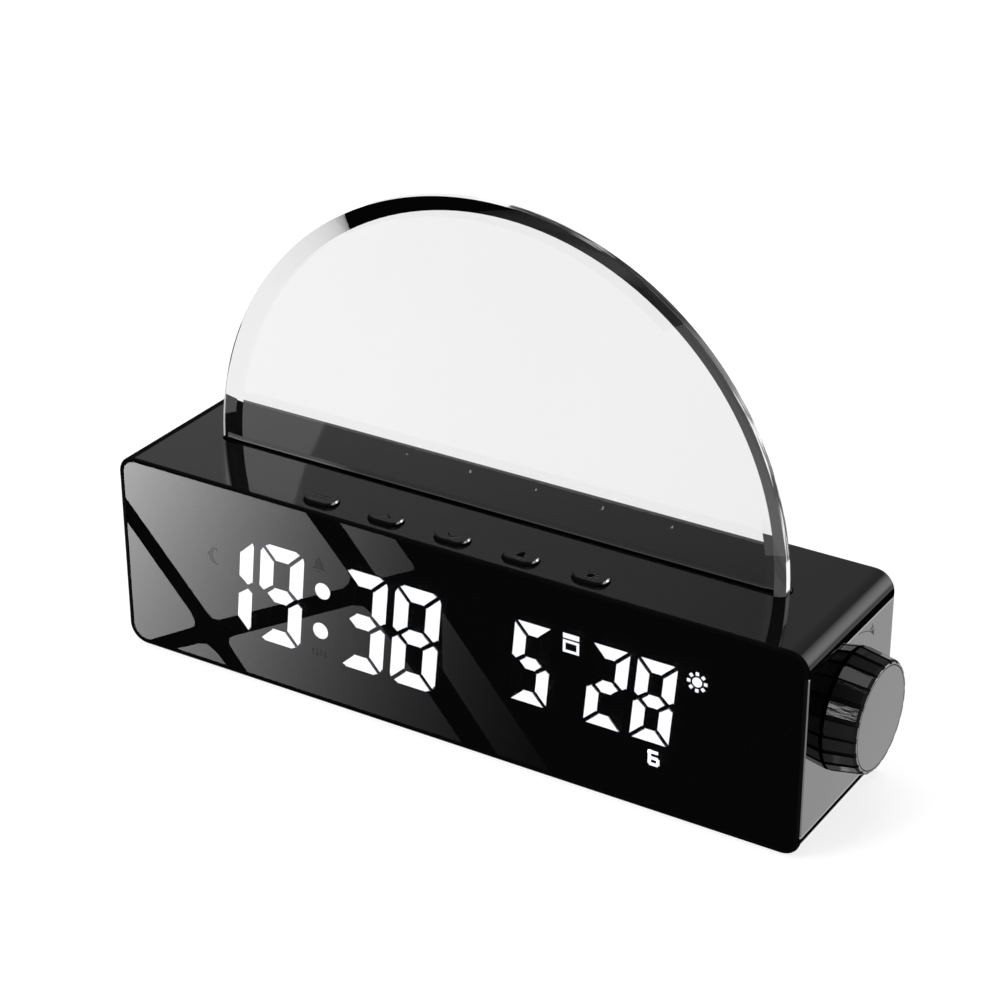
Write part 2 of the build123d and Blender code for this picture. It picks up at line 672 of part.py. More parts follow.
def land_prism(taper_l):
    """The many-sided taper whose sides are the lands."""
    step = radians(360 / FLUTES)
    flats = cos(step / 2 - FLUTE_W / 2 / KNOB_ROOT_R)
    outlines = []
    for x, radius in ((0, KNOB_ROOT_R), (taper_l, KNOB_FRONT_R), (KNOB_L, KNOB_FACE_R + FLUTE_DEPTH)):
        corner = radius * flats / cos(step / 2)
        points = []
        for angle in knob_land_angles():
            turn = radians(angle) - step / 2
            points.append((KNOB_ROOT_X + x, KNOB_Y - corner * sin(turn), KNOB_Z + corner * cos(turn)))
        outlines.append(polygon(points))
    return loft(outlines[:2]) + loft(outlines[1:])


def flute_grooves(taper_l):
    """Grooves along the taper, one at each corner between two lands."""
    lean = (KNOB_ROOT_R - KNOB_FRONT_R) / taper_l
    step = 360 / FLUTES
    grooves = []
    for angle in knob_land_angles():
        points = []
        for x in (-KNOB_GAP, KNOB_L + KNOB_GAP):
            floor = KNOB_ROOT_R - lean * x - FLUTE_DEPTH
            points.append((x, floor))
        (xa, ra), (xb, rb) = points
        side = polygon([(KNOB_ROOT_X + xa, -FLUTE_W / 2, ra), (KNOB_ROOT_X + xb, -FLUTE_W / 2, rb),
                        (KNOB_ROOT_X + xb, -FLUTE_W / 2, rb + 2 * FLUTE_W),
                        (KNOB_ROOT_X + xa, -FLUTE_W / 2, ra + 2 * FLUTE_W)])
        groove = extrude(side, amount=FLUTE_W, dir=(0, 1, 0))
        grooves.append(Pos(0, KNOB_Y, KNOB_Z) * Rot(angle - step / 2, 0, 0) * groove)
    return grooves


def face_ring():
    """Fine square groove round the knob's face."""
    floor = KNOB_FACE_X - KNOB_RING_W
    ring = rod_x(KNOB_RING_R + KNOB_RING_W / 2, floor, KNOB_FACE_X)
    return ring - rod_x(KNOB_RING_R - KNOB_RING_W / 2, floor, KNOB_FACE_X)


def shaft_flat():
    """What the D-flat takes off the shaft's outer end."""
    cut = block(BUSHING_END_X, SHAFT_END_X, KNOB_Y - SHAFT_R, KNOB_Y + SHAFT_R,
                KNOB_Z + SHAFT_R - SHAFT_FLAT, KNOB_Z + SHAFT_R)
    return cut


def make_shaft():
    return rod_x(SHAFT_R, INNER_X - SHAFT_IN_ENCODER, SHAFT_END_X) - shaft_flat()


def make_encoder():
    """Encoder case inside the end wall, with its bushing through the wall and the panel."""
    case = block(INNER_X - ENCODER_L, INNER_X, KNOB_Y - ENCODER_D / 2, KNOB_Y + ENCODER_D / 2,
                 KNOB_Z - ENCODER_H / 2, KNOB_Z + ENCODER_H / 2)
    case += rod_x(BUSHING_R, INNER_X, BUSHING_END_X)
    return case - rod_x(SHAFT_R + SHAFT_RUN, INNER_X - SHAFT_IN_ENCODER - SHAFT_END_CLEAR, BUSHING_END_X)


def make_encoder_nut():
    outline = RegularPolygon(NUT_FLATS / 2, 6, major_radius=False)
    plane = Plane(origin=(HALF_W + WASHER_T, KNOB_Y, KNOB_Z), x_dir=(0, 1, 0), z_dir=(1, 0, 0))
    nut = extrude(plane * outline, amount=NUT_T)
    return nut - rod_x(BUSHING_R, HALF_W, NUT_END_X)


def make_encoder_washer():
    return rod_x(WASHER_R, HALF_W, HALF_W + WASHER_T) - rod_x(BUSHING_R + FIT_GAP, HALF_W, HALF_W + WASHER_T)


# ---------------------------------------------------------------- rear electronics
def make_main_board():
    board = block(*MAIN_BOARD_X, MAIN_BOARD_FRONT, MAIN_BOARD_BACK, *MAIN_BOARD_ZS)
    for x, z in board_screw_places():
        board -= rod_y(SMALL_SCREW_R + FIT_GAP, MAIN_BOARD_FRONT, MAIN_BOARD_BACK, x, z)
    return board


def make_board_chips():
    """Controller, driver and clock chips on the board's inner face."""
    size, height = CHIP
    chips = []
    for x in CHIP_XS:
        chips.append(block(x - size / 2, x + size / 2, MAIN_BOARD_FRONT - height, MAIN_BOARD_FRONT,
                           MID_Z - size / 2, MID_Z + size / 2))
    return Compound(children=chips)


def socket_outline(grow):
    height = SOCKET_H + 2 * grow
    return Pos(SOCKET_X, SOCKET_Z) * SlotOverall(SOCKET_W + 2 * grow, height)


def make_power_socket():
    """Upright power socket: a flat oval sleeve with a tongue in its middle."""
    sleeve = slab(socket_outline(0), MAIN_BOARD_BACK, BACK_Y)
    sleeve -= slab(socket_outline(-SOCKET_WALL), MAIN_BOARD_BACK + SOCKET_WALL * 4, BACK_Y)
    width, height = SOCKET_TONGUE
    tongue = block(SOCKET_X - width / 2, SOCKET_X + width / 2, MAIN_BOARD_BACK, BACK_Y - SOCKET_H / 2,
                   SOCKET_Z - height / 2, SOCKET_Z + height / 2)
    return sleeve + tongue


def speaker_revolve(points):
    """Turn a profile of radius and Y about the speaker's axis."""
    face = polygon([(SPEAKER_X + r, y, MID_Z) for r, y in points])
    return revolve(face, Axis((SPEAKER_X, 0, MID_Z), (0, 1, 0)), 360)


def make_speaker_frame():
    """Pressed basket: flange against the cover, then a cup that carries the magnet on its back."""
    flange_y = COVER_INNER - SPEAKER_LIP_T
    back_y = flange_y - SPEAKER_BASKET_D
    wall = SPEAKER_LIP_T
    return speaker_revolve([(SPEAKER_R, COVER_INNER), (SPEAKER_R, flange_y), (SPEAKER_BASKET_R, flange_y),
                            (SPEAKER_BASKET_R, back_y), (0, back_y), (0, back_y + wall),
                            (SPEAKER_BASKET_R - wall, back_y + wall), (SPEAKER_BASKET_R - wall, COVER_INNER)])


def make_speaker_cone():
    """Shallow cone of pressed film with a flat centre, held by its rim in the basket's mouth."""
    mouth = SPEAKER_BASKET_R - SPEAKER_LIP_T
    floor_y = COVER_INNER - CONE_DEPTH
    cone = rod_y(mouth, floor_y - CONE_T, COVER_INNER, SPEAKER_X, MID_Z)
    dish = speaker_revolve([(0, COVER_INNER), (mouth - CONE_T, COVER_INNER), (CONE_CENTRE_R, floor_y),
                            (0, floor_y)])
    return cone - dish


def make_speaker_magnet():
    front = COVER_INNER - SPEAKER_LIP_T - SPEAKER_BASKET_D
    return rod_y(SPEAKER_MAGNET_R, front - SPEAKER_MAGNET_T, front, SPEAKER_X, MID_Z)


def make_cell_holder():
    """Open tray on the board for the backup cell."""
    wall = CELL_HOLDER_WALL
    front = MAIN_BOARD_FRONT - wall - CELL_T
    tray = post_y(2 * (CELL_R + FIT_GAP + wall), front, MAIN_BOARD_FRONT, CELL_X, MID_Z)
    tray -= rod_y(CELL_R + FIT_GAP, front, MAIN_BOARD_FRONT - wall, CELL_X, MID_Z)
    return tray


def make_backup_cell():
    back = MAIN_BOARD_FRONT - CELL_HOLDER_WALL
    return rod_y(CELL_R, back - CELL_T, back, CELL_X, MID_Z)


# ---------------------------------------------------------------- screws
def screw_y(shank_r, head_r, head_t, head_y, length, x, z, towards):
    """Screw along Y: the head's underside at head_y, the shank running towards -1 or +1."""
    tip = head_y + towards * length
    top = head_y - towards * head_t
    screw = rod_y(shank_r, min(head_y, tip), max(head_y, tip), x, z)
    screw += rod_y(head_r, min(head_y, top), max(head_y, top), x, z)
    floor = top + towards * SLOT_IN_HEAD
    slot = block(x - head_r, x + head_r, min(floor, top), max(floor, top),
                 z - SLOT_IN_HEAD / 2, z + SLOT_IN_HEAD / 2)
    return screw - slot


def make_cover_screws():
    screws = []
    seat = BACK_Y - SCREW_HEAD_T
    for side in (-1, 1):
        for z in COVER_SCREW_ZS:
            screws.append(screw_y(COVER_SCREW_R, SCREW_HEAD_R, SCREW_HEAD_T, seat, COVER_SCREW_L,
                                  side * COVER_SCREW_X, z, -1))
    return Compound(children=screws)


def make_board_screws():
    """Screws of the main board and of the display board."""
    screws = []
    for x, z in board_screw_places():
        screws.append(screw_y(SMALL_SCREW_R, SMALL_HEAD_R, SMALL_HEAD_T, MAIN_BOARD_FRONT,
                              SCREW_BITE, x, z, 1))
    for side in (-1, 1):
        screws.append(screw_y(SMALL_SCREW_R, SMALL_HEAD_R, SMALL_HEAD_T, DISPLAY_BOARD_BACK,
                              SCREW_BITE, side * DISPLAY_SCREW_X, DISPLAY_SCREW_Z, -1))
    return Compound(children=screws)


def make_holder_screws():
    screws = []
    for side in (-1, 1):
        x = side * TAB_SCREW_X
        screw = rod_z(TAB_SCREW_R, HOLDER_BOTTOM, HOLDER_BOTTOM + SCREW_BITE, x, TAB_SCREW_Y)
        screw += rod_z(SMALL_HEAD_R, HOLDER_BOTTOM - SMALL_HEAD_T, HOLDER_BOTTOM, x, TAB_SCREW_Y)
        screws.append(screw)
    return Compound(children=screws)


def make_parts():
    time_lit, date_lit, unlit = display_bars()
    parts = {
        "housing": make_housing(),
        "window": make_window(),
        "left_end_panel": make_end_panel(-1),
        "right_end_panel": make_end_panel(1),
        "rear_cover": make_rear_cover(),
        "base_mat": make_base_mat(),
        "light_guide": make_light_guide(),
        "guide_holder": make_guide_holder(),
        "strip_board": make_strip_board(),
        "strip_leds": make_strip_leds(),
        "display_reflector": make_reflector(),
        "time_bars": make_bars(time_lit, colon_places()),
        "date_bars": make_bars(date_lit, []),
        "unlit_bars": make_bars(unlit, []),
        "display_board": make_display_board(),
        "display_leds": make_display_leds(),
        "button_board": make_button_board(),
        "button_switches": make_switches(),
        "knob": make_knob(),
        "encoder_shaft": make_shaft(),
        "encoder": make_encoder(),
        "encoder_nut": make_encoder_nut(),
        "encoder_washer": make_encoder_washer(),
        "main_board": make_main_board(),
        "board_chips": make_board_chips(),
        "power_socket": make_power_socket(),
        "speaker_frame": make_speaker_frame(),
        "speaker_cone": make_speaker_cone(),
        "speaker_magnet": make_speaker_magnet(),
        "cell_holder": make_cell_holder(),
        "backup_cell": make_backup_cell(),
        "cover_screws": make_cover_screws(),
        "board_screws": make_board_screws(),
        "holder_screws": make_holder_screws(),
    }
    for name, x in zip(BUTTON_NAMES, BUTTON_XS):
        parts[name] = make_button(x)
    return parts


os.makedirs("parts", exist_ok=True)
for node, solid in make_parts().items():
    export_step(solid, f"parts/{node}.step")
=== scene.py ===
import math

import bmesh
import bpy
from mathutils import Matrix, Vector


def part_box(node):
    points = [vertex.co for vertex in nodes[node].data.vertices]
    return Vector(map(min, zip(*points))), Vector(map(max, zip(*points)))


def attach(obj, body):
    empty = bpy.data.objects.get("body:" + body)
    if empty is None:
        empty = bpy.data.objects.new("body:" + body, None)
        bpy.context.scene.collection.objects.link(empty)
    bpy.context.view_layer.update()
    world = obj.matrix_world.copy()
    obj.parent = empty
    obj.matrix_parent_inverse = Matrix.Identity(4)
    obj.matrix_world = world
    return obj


# Sunrise alarm clock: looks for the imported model. Metres; +Z up, -Y the front, +X the knob's end.
MM = 0.001
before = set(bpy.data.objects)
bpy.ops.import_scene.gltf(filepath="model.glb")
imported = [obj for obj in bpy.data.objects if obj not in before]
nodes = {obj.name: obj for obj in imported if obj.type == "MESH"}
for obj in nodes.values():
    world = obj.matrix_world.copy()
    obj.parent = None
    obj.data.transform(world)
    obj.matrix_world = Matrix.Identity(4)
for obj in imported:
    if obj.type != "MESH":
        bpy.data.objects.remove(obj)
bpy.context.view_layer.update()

# ---------------------------------------------------------------- places taken from the frame
WINDOW_LOW, WINDOW_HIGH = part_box("window")
BARS_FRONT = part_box("time_bars")[0].y
REFLECTOR_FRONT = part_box("display_reflector")[0].y
BODY_LOW, BODY_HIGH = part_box("housing")
KNOB_LOW, KNOB_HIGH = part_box("knob")
PANEL_LOW, PANEL_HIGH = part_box("right_end_panel")
GUIDE_LOW, GUIDE_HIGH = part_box("light_guide")
WINDOW_FRONT = WINDOW_LOW.y
LEGEND_Y = (WINDOW_HIGH.y + REFLECTOR_FRONT) / 2
MASK_Y = (LEGEND_Y + REFLECTOR_FRONT) / 2
TOP_Z = BODY_HIGH.z
BASE_Z = BODY_LOW.z
HALF_W = BODY_HIGH.x
GUIDE_R = GUIDE_HIGH.x
BUTTON_PIECES = [nodes[name] for name in nodes if name.endswith("_button")]

# ---------------------------------------------------------------- camera: degrees, metres and mm of lens
VIEW_AZIMUTH = 31.657
VIEW_ELEVATION = 27.234
VIEW_ROLL = -0.092
VIEW_DISTANCE = 660.5 * MM
VIEW_LENS = 100.377
VIEW_TARGET = Vector((2.512, 0.0, 56.89)) * MM


def direction(azimuth, elevation):
    """Unit vector; both in degrees, the azimuth from the front towards the knob's end."""
    a = math.radians(azimuth)
    e = math.radians(elevation)
    return Vector((math.sin(a) * math.cos(e), -math.cos(a) * math.cos(e), math.sin(e)))


VIEW_BACK = direction(VIEW_AZIMUTH, VIEW_ELEVATION)
EYE = VIEW_TARGET + VIEW_BACK * VIEW_DISTANCE


def make_camera():
    data = bpy.data.cameras.new("camera")
    data.lens = VIEW_LENS
    data.sensor_width = 36.0
    data.clip_start = 0.05
    data.clip_end = 20.0
    camera = bpy.data.objects.new("camera", data)
    bpy.context.collection.objects.link(camera)
    turn = (-VIEW_BACK).to_track_quat("-Z", "Y").to_matrix().to_4x4()
    roll = Matrix.Rotation(math.radians(VIEW_ROLL), 4, "Z")
    camera.matrix_world = Matrix.Translation(EYE) @ turn @ roll
    bpy.context.scene.camera = camera


# ---------------------------------------------------------------- node helpers
NOISE_LOW, NOISE_HIGH = 0.3, 0.7        # nearly all values of a noise lie between these


def new_tree(name):
    """A fresh material: returns it, its tree and its shader node."""
    material = bpy.data.materials.new(name)
    material.use_nodes = True
    tree = material.node_tree
    return material, tree, tree.nodes["Principled BSDF"]


def feed(tree, value, socket):
    """Give a socket a plain number, a colour of three numbers, or what another socket puts out."""
    if isinstance(value, (int, float)):
        socket.default_value = value
    elif isinstance(value, tuple):
        socket.default_value = (*value, 1.0)
    else:
        tree.links.new(value, socket)


def surface_point(tree, kind="Object"):
    """The surface point: Object is in the object's own metres, Generated in parts of its box."""
    return tree.nodes.new("ShaderNodeTexCoord").outputs[kind]


def axes(tree, kind="Object"):
    """The X, Y and Z of the surface point as three values."""
    split = tree.nodes.new("ShaderNodeSeparateXYZ")
    tree.links.new(surface_point(tree, kind), split.inputs["Vector"])
    return split.outputs["X"], split.outputs["Y"], split.outputs["Z"]


def noise_at(tree, place, scale, detail):
    """Noise over any place socket."""
    texture = tree.nodes.new("ShaderNodeTexNoise")
    texture.inputs["Scale"].default_value = scale
    texture.inputs["Detail"].default_value = detail
    tree.links.new(place, texture.inputs["Vector"])
    return texture.outputs["Fac"]


def noise(tree, scale, detail=3.0, stretch=(1.0, 1.0, 1.0)):
    """Noise over the object's own coordinates; a stretch below 1 draws it out along that axis."""
    mapping = tree.nodes.new("ShaderNodeMapping")
    mapping.inputs["Scale"].default_value = stretch
    tree.links.new(surface_point(tree), mapping.inputs["Vector"])
    return noise_at(tree, mapping.outputs["Vector"], scale, detail)


def tone(tree, value, dark, light):
    """Blend two colours by a noise value."""
    ramp = tree.nodes.new("ShaderNodeValToRGB")
    for stop, place, colour in zip(ramp.color_ramp.elements, (NOISE_LOW, NOISE_HIGH), (dark, light)):
        stop.position = place
        stop.color = (*colour, 1.0)
    tree.links.new(value, ramp.inputs["Fac"])
    return ramp.outputs["Color"]


def calc(tree, operation, *values):
    """One arithmetic step on sockets or plain numbers."""
    node = tree.nodes.new("ShaderNodeMath")
    node.operation = operation
    for value, socket in zip(values, node.inputs):
        feed(tree, value, socket)
    return node.outputs["Value"]


def mix_colours(tree, factor, first, second, blend="MIX"):
    """Two colours, or a colour and a value, mixed by a factor."""
    node = tree.nodes.new("ShaderNodeMix")
    node.data_type = "RGBA"
    node.blend_type = blend
    for value, name in ((factor, "Factor"), (first, "A"), (second, "B")):
        feed(tree, value, node.inputs[name])
    return node.outputs["Result"]


def ramp_over(tree, value, stops):
    """Piecewise straight levels over a value; stops are (place, level) pairs in rising order."""
    total = None
    for (a, la), (b, lb) in zip(stops, stops[1:]):
        node = tree.nodes.new("ShaderNodeMapRange")
        node.inputs["From Min"].default_value = a
        node.inputs["From Max"].default_value = b
        node.inputs["To Min"].default_value = la if total is None else 0.0
        node.inputs["To Max"].default_value = lb if total is None else lb - la
        tree.links.new(value, node.inputs["Value"])
        total = node.outputs["Result"] if total is None else calc(tree, "ADD", total, node.outputs["Result"])
    return total


def in_metres(stops, base=0.0):
    """Stops whose places are in mm from a base, for ramp_over."""
    return [(base + place * MM, level) for place, level in stops]


def within(tree, value, low, high, soft):
    """1 between low and high, falling to 0 over the soft width outside them."""
    return ramp_over(tree, value, ((low - soft, 0.0), (low, 1.0), (high, 1.0), (high + soft, 0.0)))


def spread(tree, value, low, high):
    """Map a noise value to a range."""
    return ramp_over(tree, value, ((NOISE_LOW, low), (NOISE_HIGH, high)))


def bump(tree, shader, value, height):
    """Relief on a surface: the value times a height in metres."""
    node = tree.nodes.new("ShaderNodeBump")
    node.inputs["Distance"].default_value = height
    node.inputs["Strength"].default_value = 1.0
    tree.links.new(value, node.inputs["Height"])
    tree.links.new(node.outputs["Normal"], shader.inputs["Normal"])


def paint_glow(tree, shader, strength):
    """Paints a glow onto a surface, with the strength given by a socket."""
    shader.inputs["Emission Strength"].default_value = 1.0
    colour = tree.nodes.new("ShaderNodeCombineColor")
    for channel in colour.inputs:
        tree.links.new(strength, channel)
    tree.links.new(colour.outputs["Color"], shader.inputs["Emission Color"])


# ---------------------------------------------------------------- finishes (linear colours)
GLOSS_BLACK = (0.004, 0.004, 0.0043)
BAR_GLOW = 7.9
ROUGH_VARY = 0.15       # share by which a surface's roughness changes


def broad_noise(tree, stretch=(1.0, 1.0, 1.0)):
    """The slow changes in a surface's colour."""
    return noise(tree, 60.0, detail=4.0, stretch=stretch)


def surface(name, colour, rough, metal=0.0, specular=0.5, grain=900.0, grain_height=0.004 * MM,
            vary=0.08, stretch=(1.0, 1.0, 1.0)):
    """Moulded or metal surface: slight colour and gloss changes, and a fine relief."""
    material, tree, shader = new_tree(name)
    shader.inputs["Metallic"].default_value = metal
    shader.inputs["Specular IOR Level"].default_value = specular
    dark = tuple(c * (1.0 - vary) for c in colour)
    light = tuple(min(c * (1.0 + vary), 1.0) for c in colour)
    tree.links.new(tone(tree, broad_noise(tree, stretch), dark, light), shader.inputs["Base Color"])
    fine = noise(tree, grain, detail=5.0, stretch=stretch)
    roughness = spread(tree, fine, rough * (1.0 - ROUGH_VARY), rough * (1.0 + ROUGH_VARY))
    tree.links.new(roughness, shader.inputs["Roughness"])
    bump(tree, shader, fine, grain_height)
    return material


def clear_tree(name, index):
    """A polished clear material with the given refractive index: returns it, its tree and its shader."""
    material, tree, shader = new_tree(name)
    shader.inputs["Transmission Weight"].default_value = 1.0
    shader.inputs["IOR"].default_value = index
    shader.inputs["Roughness"].default_value = 0.0
    return material, tree, shader


WINDOW_TINT = (0.14, 0.14, 0.145)
WINDOW_HAZE = 1.06      # how much lighter the tint gets in places


def window_finish():
    """Smoked window: dark, clear and polished."""
    material, tree, shader = clear_tree("smoked_window", 1.5)
    light = tuple(c * WINDOW_HAZE for c in WINDOW_TINT)
    tree.links.new(tone(tree, noise(tree, 40.0), WINDOW_TINT, light), shader.inputs["Base Color"])
    return material


ACRYLIC_DARK = (0.89, 0.89, 0.89)
ACRYLIC_LIGHT = (0.91, 0.91, 0.91)
ACRYLIC_RIGHT = 0.94    # the tint at the body's right-hand end, as a share of that at its left-hand end


def acrylic_finish():
    """Polished clear acrylic with a faint haze in its colour, and painted highlights on its rim, at its
    foot's right-hand end and on its underside.
    """
    material, tree, shader = clear_tree("clear_acrylic", 1.51)
    haze = tone(tree, noise(tree, 12.0), ACRYLIC_DARK, ACRYLIC_LIGHT)
    across = ramp_over(tree, axes(tree)[0], ((BODY_LOW.x, 1.0), (BODY_HIGH.x, ACRYLIC_RIGHT)))
    tree.links.new(mix_colours(tree, 1.0, haze, across, blend="MULTIPLY"), shader.inputs["Base Color"])
    # painted highlights on the guide's rim, foot end and underside
    paint_glow(tree, shader, painted_guide_highlights(tree))
    return material


# Painted highlights on the guide's rim, standing in for the light it refracts and mirrors, by their place
# along the arc, in degrees counter-clockwise from the right-hand end.
PAINTED_STREAK_LIGHT = ((4.0, 0.0), (6.0, 0.7), (34.0, 0.7), (38.0, 0.06), (60.0, 0.06), (66.0, 0.3), (86.0, 0.3),
                (86.5, 0.0))
PAINTED_EVEN_LIGHT = ((86.0, 0.0), (86.6, 0.88), (122.0, 0.88), (124.0, 0.0), (164.0, 0.0), (168.0, 0.5))
DARK_INSIDE = (-1.0, 160.0)     # between these the rim's light isn't seen from inside the guide
# Painted glow on the underside of its foot, by the place along the foot in mm from the middle.
PAINTED_UNDERSIDE_LIGHT = ((-34.0, 0.0), (-28.0, 0.02), (-21.0, 0.05), (-18.5, 0.02), (-9.0, 0.035), (4.0, 0.055),
                   (20.0, 0.08))
# painted highlight at the right-hand end of the guide's foot
PAINTED_FOOT_END_LIGHT = 0.85
FOOT_END_HEIGHTS = (1.0 * MM, 8.0 * MM)     # above the top
FOOT_END_DEPTH = 0.8 * MM                   # from the guide's right-hand end
STREAK_VALUES = ((0.5, 0.0), (0.58, 1.0))   # the noise values that show as a streak
STREAKS_PER_DEGREE = 0.12
STREAKS_PER_METRE = 1400.0                  # across the rim
FACE_SOFT = 0.02 * MM   # how near a face of the guide a point must be to count as on it
BEYOND = 1.0 * MM       # a reach past a face, where there is no more surface


def painted_rim_streaks(tree, angle, y):
    """Painted fine bright streaks along the rim, standing in for its glints: noise that is drawn out along
    the arc.
    """
    place = tree.nodes.new("ShaderNodeCombineXYZ")
    tree.links.new(calc(tree, "MULTIPLY", angle, STREAKS_PER_DEGREE), place.inputs["X"])
    tree.links.new(calc(tree, "MULTIPLY", y, STREAKS_PER_METRE), place.inputs["Y"])
    value = noise_at(tree, place.outputs["Vector"], scale=1.0, detail=2.0)
    return ramp_over(tree, value, STREAK_VALUES)


def painted_guide_highlights(tree):
    """Painted highlights and glow on the guide, which no lamp gives: at its rim, at the right-hand end of its
    foot and at its underside.
    """
    x, y, z = axes(tree)
    up = calc(tree, "SUBTRACT", z, TOP_Z)
    squares = [calc(tree, "MULTIPLY", value, value) for value in (x, up)]
    radius = calc(tree, "SQRT", calc(tree, "ADD", *squares))
    angle = calc(tree, "DEGREES", calc(tree, "ARCTAN2", up, x))
    rim = within(tree, radius, GUIDE_R - 2 * FACE_SOFT, GUIDE_R + BEYOND, FACE_SOFT)
    streaks = calc(tree, "MULTIPLY", painted_rim_streaks(tree, angle, y), ramp_over(tree, angle, PAINTED_STREAK_LIGHT))
    lights = calc(tree, "ADD", streaks, ramp_over(tree, angle, PAINTED_EVEN_LIGHT))
    foot_end = calc(tree, "MULTIPLY", within(tree, up, *FOOT_END_HEIGHTS, soft=0.6 * MM),
                    within(tree, x, GUIDE_R - FOOT_END_DEPTH, GUIDE_R + BEYOND, soft=0.1 * MM))
    lights = calc(tree, "MAXIMUM", lights, calc(tree, "MULTIPLY", foot_end, PAINTED_FOOT_END_LIGHT))
    backfacing = tree.nodes.new("ShaderNodeNewGeometry").outputs["Backfacing"]
    inside = calc(tree, "MULTIPLY", backfacing, within(tree, angle, *DARK_INSIDE, soft=1.0))
    lights = calc(tree, "MULTIPLY", lights, calc(tree, "SUBTRACT", 1.0, inside))
    underside = within(tree, z, GUIDE_LOW.z - BEYOND, GUIDE_LOW.z + FACE_SOFT, FACE_SOFT)
    below = calc(tree, "MULTIPLY", underside, ramp_over(tree, x, in_metres(PAINTED_UNDERSIDE_LIGHT)))
    return calc(tree, "ADD", calc(tree, "MULTIPLY", lights, rim), below)


def glow_finish(name, strength):
    """Light-spreading plastic, lit from behind."""
    material, tree, shader = new_tree(name)
    shader.inputs["Roughness"].default_value = 0.5
    shader.inputs["Base Color"].default_value = (0.9, 0.9, 0.9, 1.0)
    patch = noise(tree, 500.0, detail=2.0)
    tree.links.new(tone(tree, patch, (0.94, 0.96, 1.0), (1.0, 1.0, 1.0)), shader.inputs["Emission Color"])
    shader.inputs["Emission Strength"].default_value = strength
    return material


KNOB_SIDE = (0.008, 0.008, 0.008)
KNOB_FACE = (0.163, 0.163, 0.167)
KNOB_RIM = KNOB_HIGH.x - 0.1 * MM           # the face's finish starts here
KNOB_CHAMFER = KNOB_HIGH.x - 0.75 * MM      # and the chamfer's here
CHAMFER_DULL = 0.6      # added to the chamfer's roughness
KNOB_LINES = 14.0       # height of the lines on the sides, against that of the fine relief
ALONG_KNOB = (0.012, 1.0, 1.0)      # draws the lines' noise out along the knob's axis


def knob_finish():
    """Black gloss sides with fine lines along them, a duller chamfer and a grey mirror face."""
    material, tree, shader = new_tree("knob_gloss")
    shader.inputs["Specular IOR Level"].default_value = 0.08
    x = axes(tree)[0]
    face = ramp_over(tree, x, ((KNOB_RIM, 0.0), (KNOB_RIM + 0.05 * MM, 1.0)))
    tree.links.new(mix_colours(tree, face, KNOB_SIDE, KNOB_FACE), shader.inputs["Base Color"])
    tree.links.new(face, shader.inputs["Metallic"])
    fine = noise(tree, 1200.0, detail=4.0)
    chamfer = within(tree, x, KNOB_CHAMFER, KNOB_RIM, soft=0.02 * MM)
    dull = calc(tree, "MULTIPLY", chamfer, CHAMFER_DULL)
    tree.links.new(calc(tree, "ADD", spread(tree, fine, 0.08, 0.12), dull), shader.inputs["Roughness"])
    lines = noise(tree, 1100.0, detail=2.0, stretch=ALONG_KNOB)
    side_lines = calc(tree, "MULTIPLY", lines, calc(tree, "SUBTRACT", 1.0, face))
    relief = calc(tree, "ADD", calc(tree, "MULTIPLY", side_lines, KNOB_LINES), fine)
    bump(tree, shader, relief, height=0.002 * MM)
    return material


PANEL_BLACK = (0.004, 0.004, 0.004)
PANEL_DARK = (0.162, 0.162, 0.166)
PANEL_LIGHT = (0.17, 0.17, 0.174)
# painted highlight along the upper and lower borders of the end panels
PAINTED_HIGHLIGHT_GREY = (0.34, 0.34, 0.345)
HIGHLIGHT_WIDTH = 0.45 * MM
PANEL_EDGE = 0.02 * MM  # how far the black of the front edge reaches back


def panel_finish():
    """Grey mirror finish of an end panel, with a black front edge, and painted highlights along its upper and
    lower borders.
    """
    material, tree, shader = new_tree("panel_mirror_grey")
    shader.inputs["Specular IOR Level"].default_value = 0.2
    y, z = axes(tree)[1:]
    face = ramp_over(tree, y, ((BODY_LOW.y + PANEL_EDGE, 0.0), (BODY_LOW.y + 2 * PANEL_EDGE, 1.0)))
    field = within(tree, z, PANEL_LOW.z + HIGHLIGHT_WIDTH, PANEL_HIGH.z - HIGHLIGHT_WIDTH, soft=0.05 * MM)
    grey = tone(tree, broad_noise(tree), PANEL_DARK, PANEL_LIGHT)
    # the borders get the painted highlight
    highlighted = mix_colours(tree, field, PAINTED_HIGHLIGHT_GREY, grey)
    tree.links.new(mix_colours(tree, face, PANEL_BLACK, highlighted), shader.inputs["Base Color"])
    tree.links.new(face, shader.inputs["Metallic"])
    fine = noise(tree, 900.0, detail=5.0)
    tree.links.new(spread(tree, fine, 0.042, 0.058), shader.inputs["Roughness"])
    bump(tree, shader, fine, height=0.0005 * MM)
    return material


# Painted light line on the slot's back wall, a highlight that no lamp gives: by depth in mm from the top, and
# by place along the slot in mm.
SLOT_DEPTHS = ((-1.25, 0.0), (-1.2, 2.4), (-1.0, 2.4), (-0.95, 1.0), (-0.05, 1.0), (-0.02, 0.0))
PAINTED_SLOT_LIGHT = ((-62.0, 0.095), (-50.0, 0.095), (-40.0, 0.038), (70.0, 0.033))
SLOT_BACK = (GUIDE_HIGH.y + 0.02 * MM, GUIDE_HIGH.y + 0.9 * MM)     # the wall lies between these


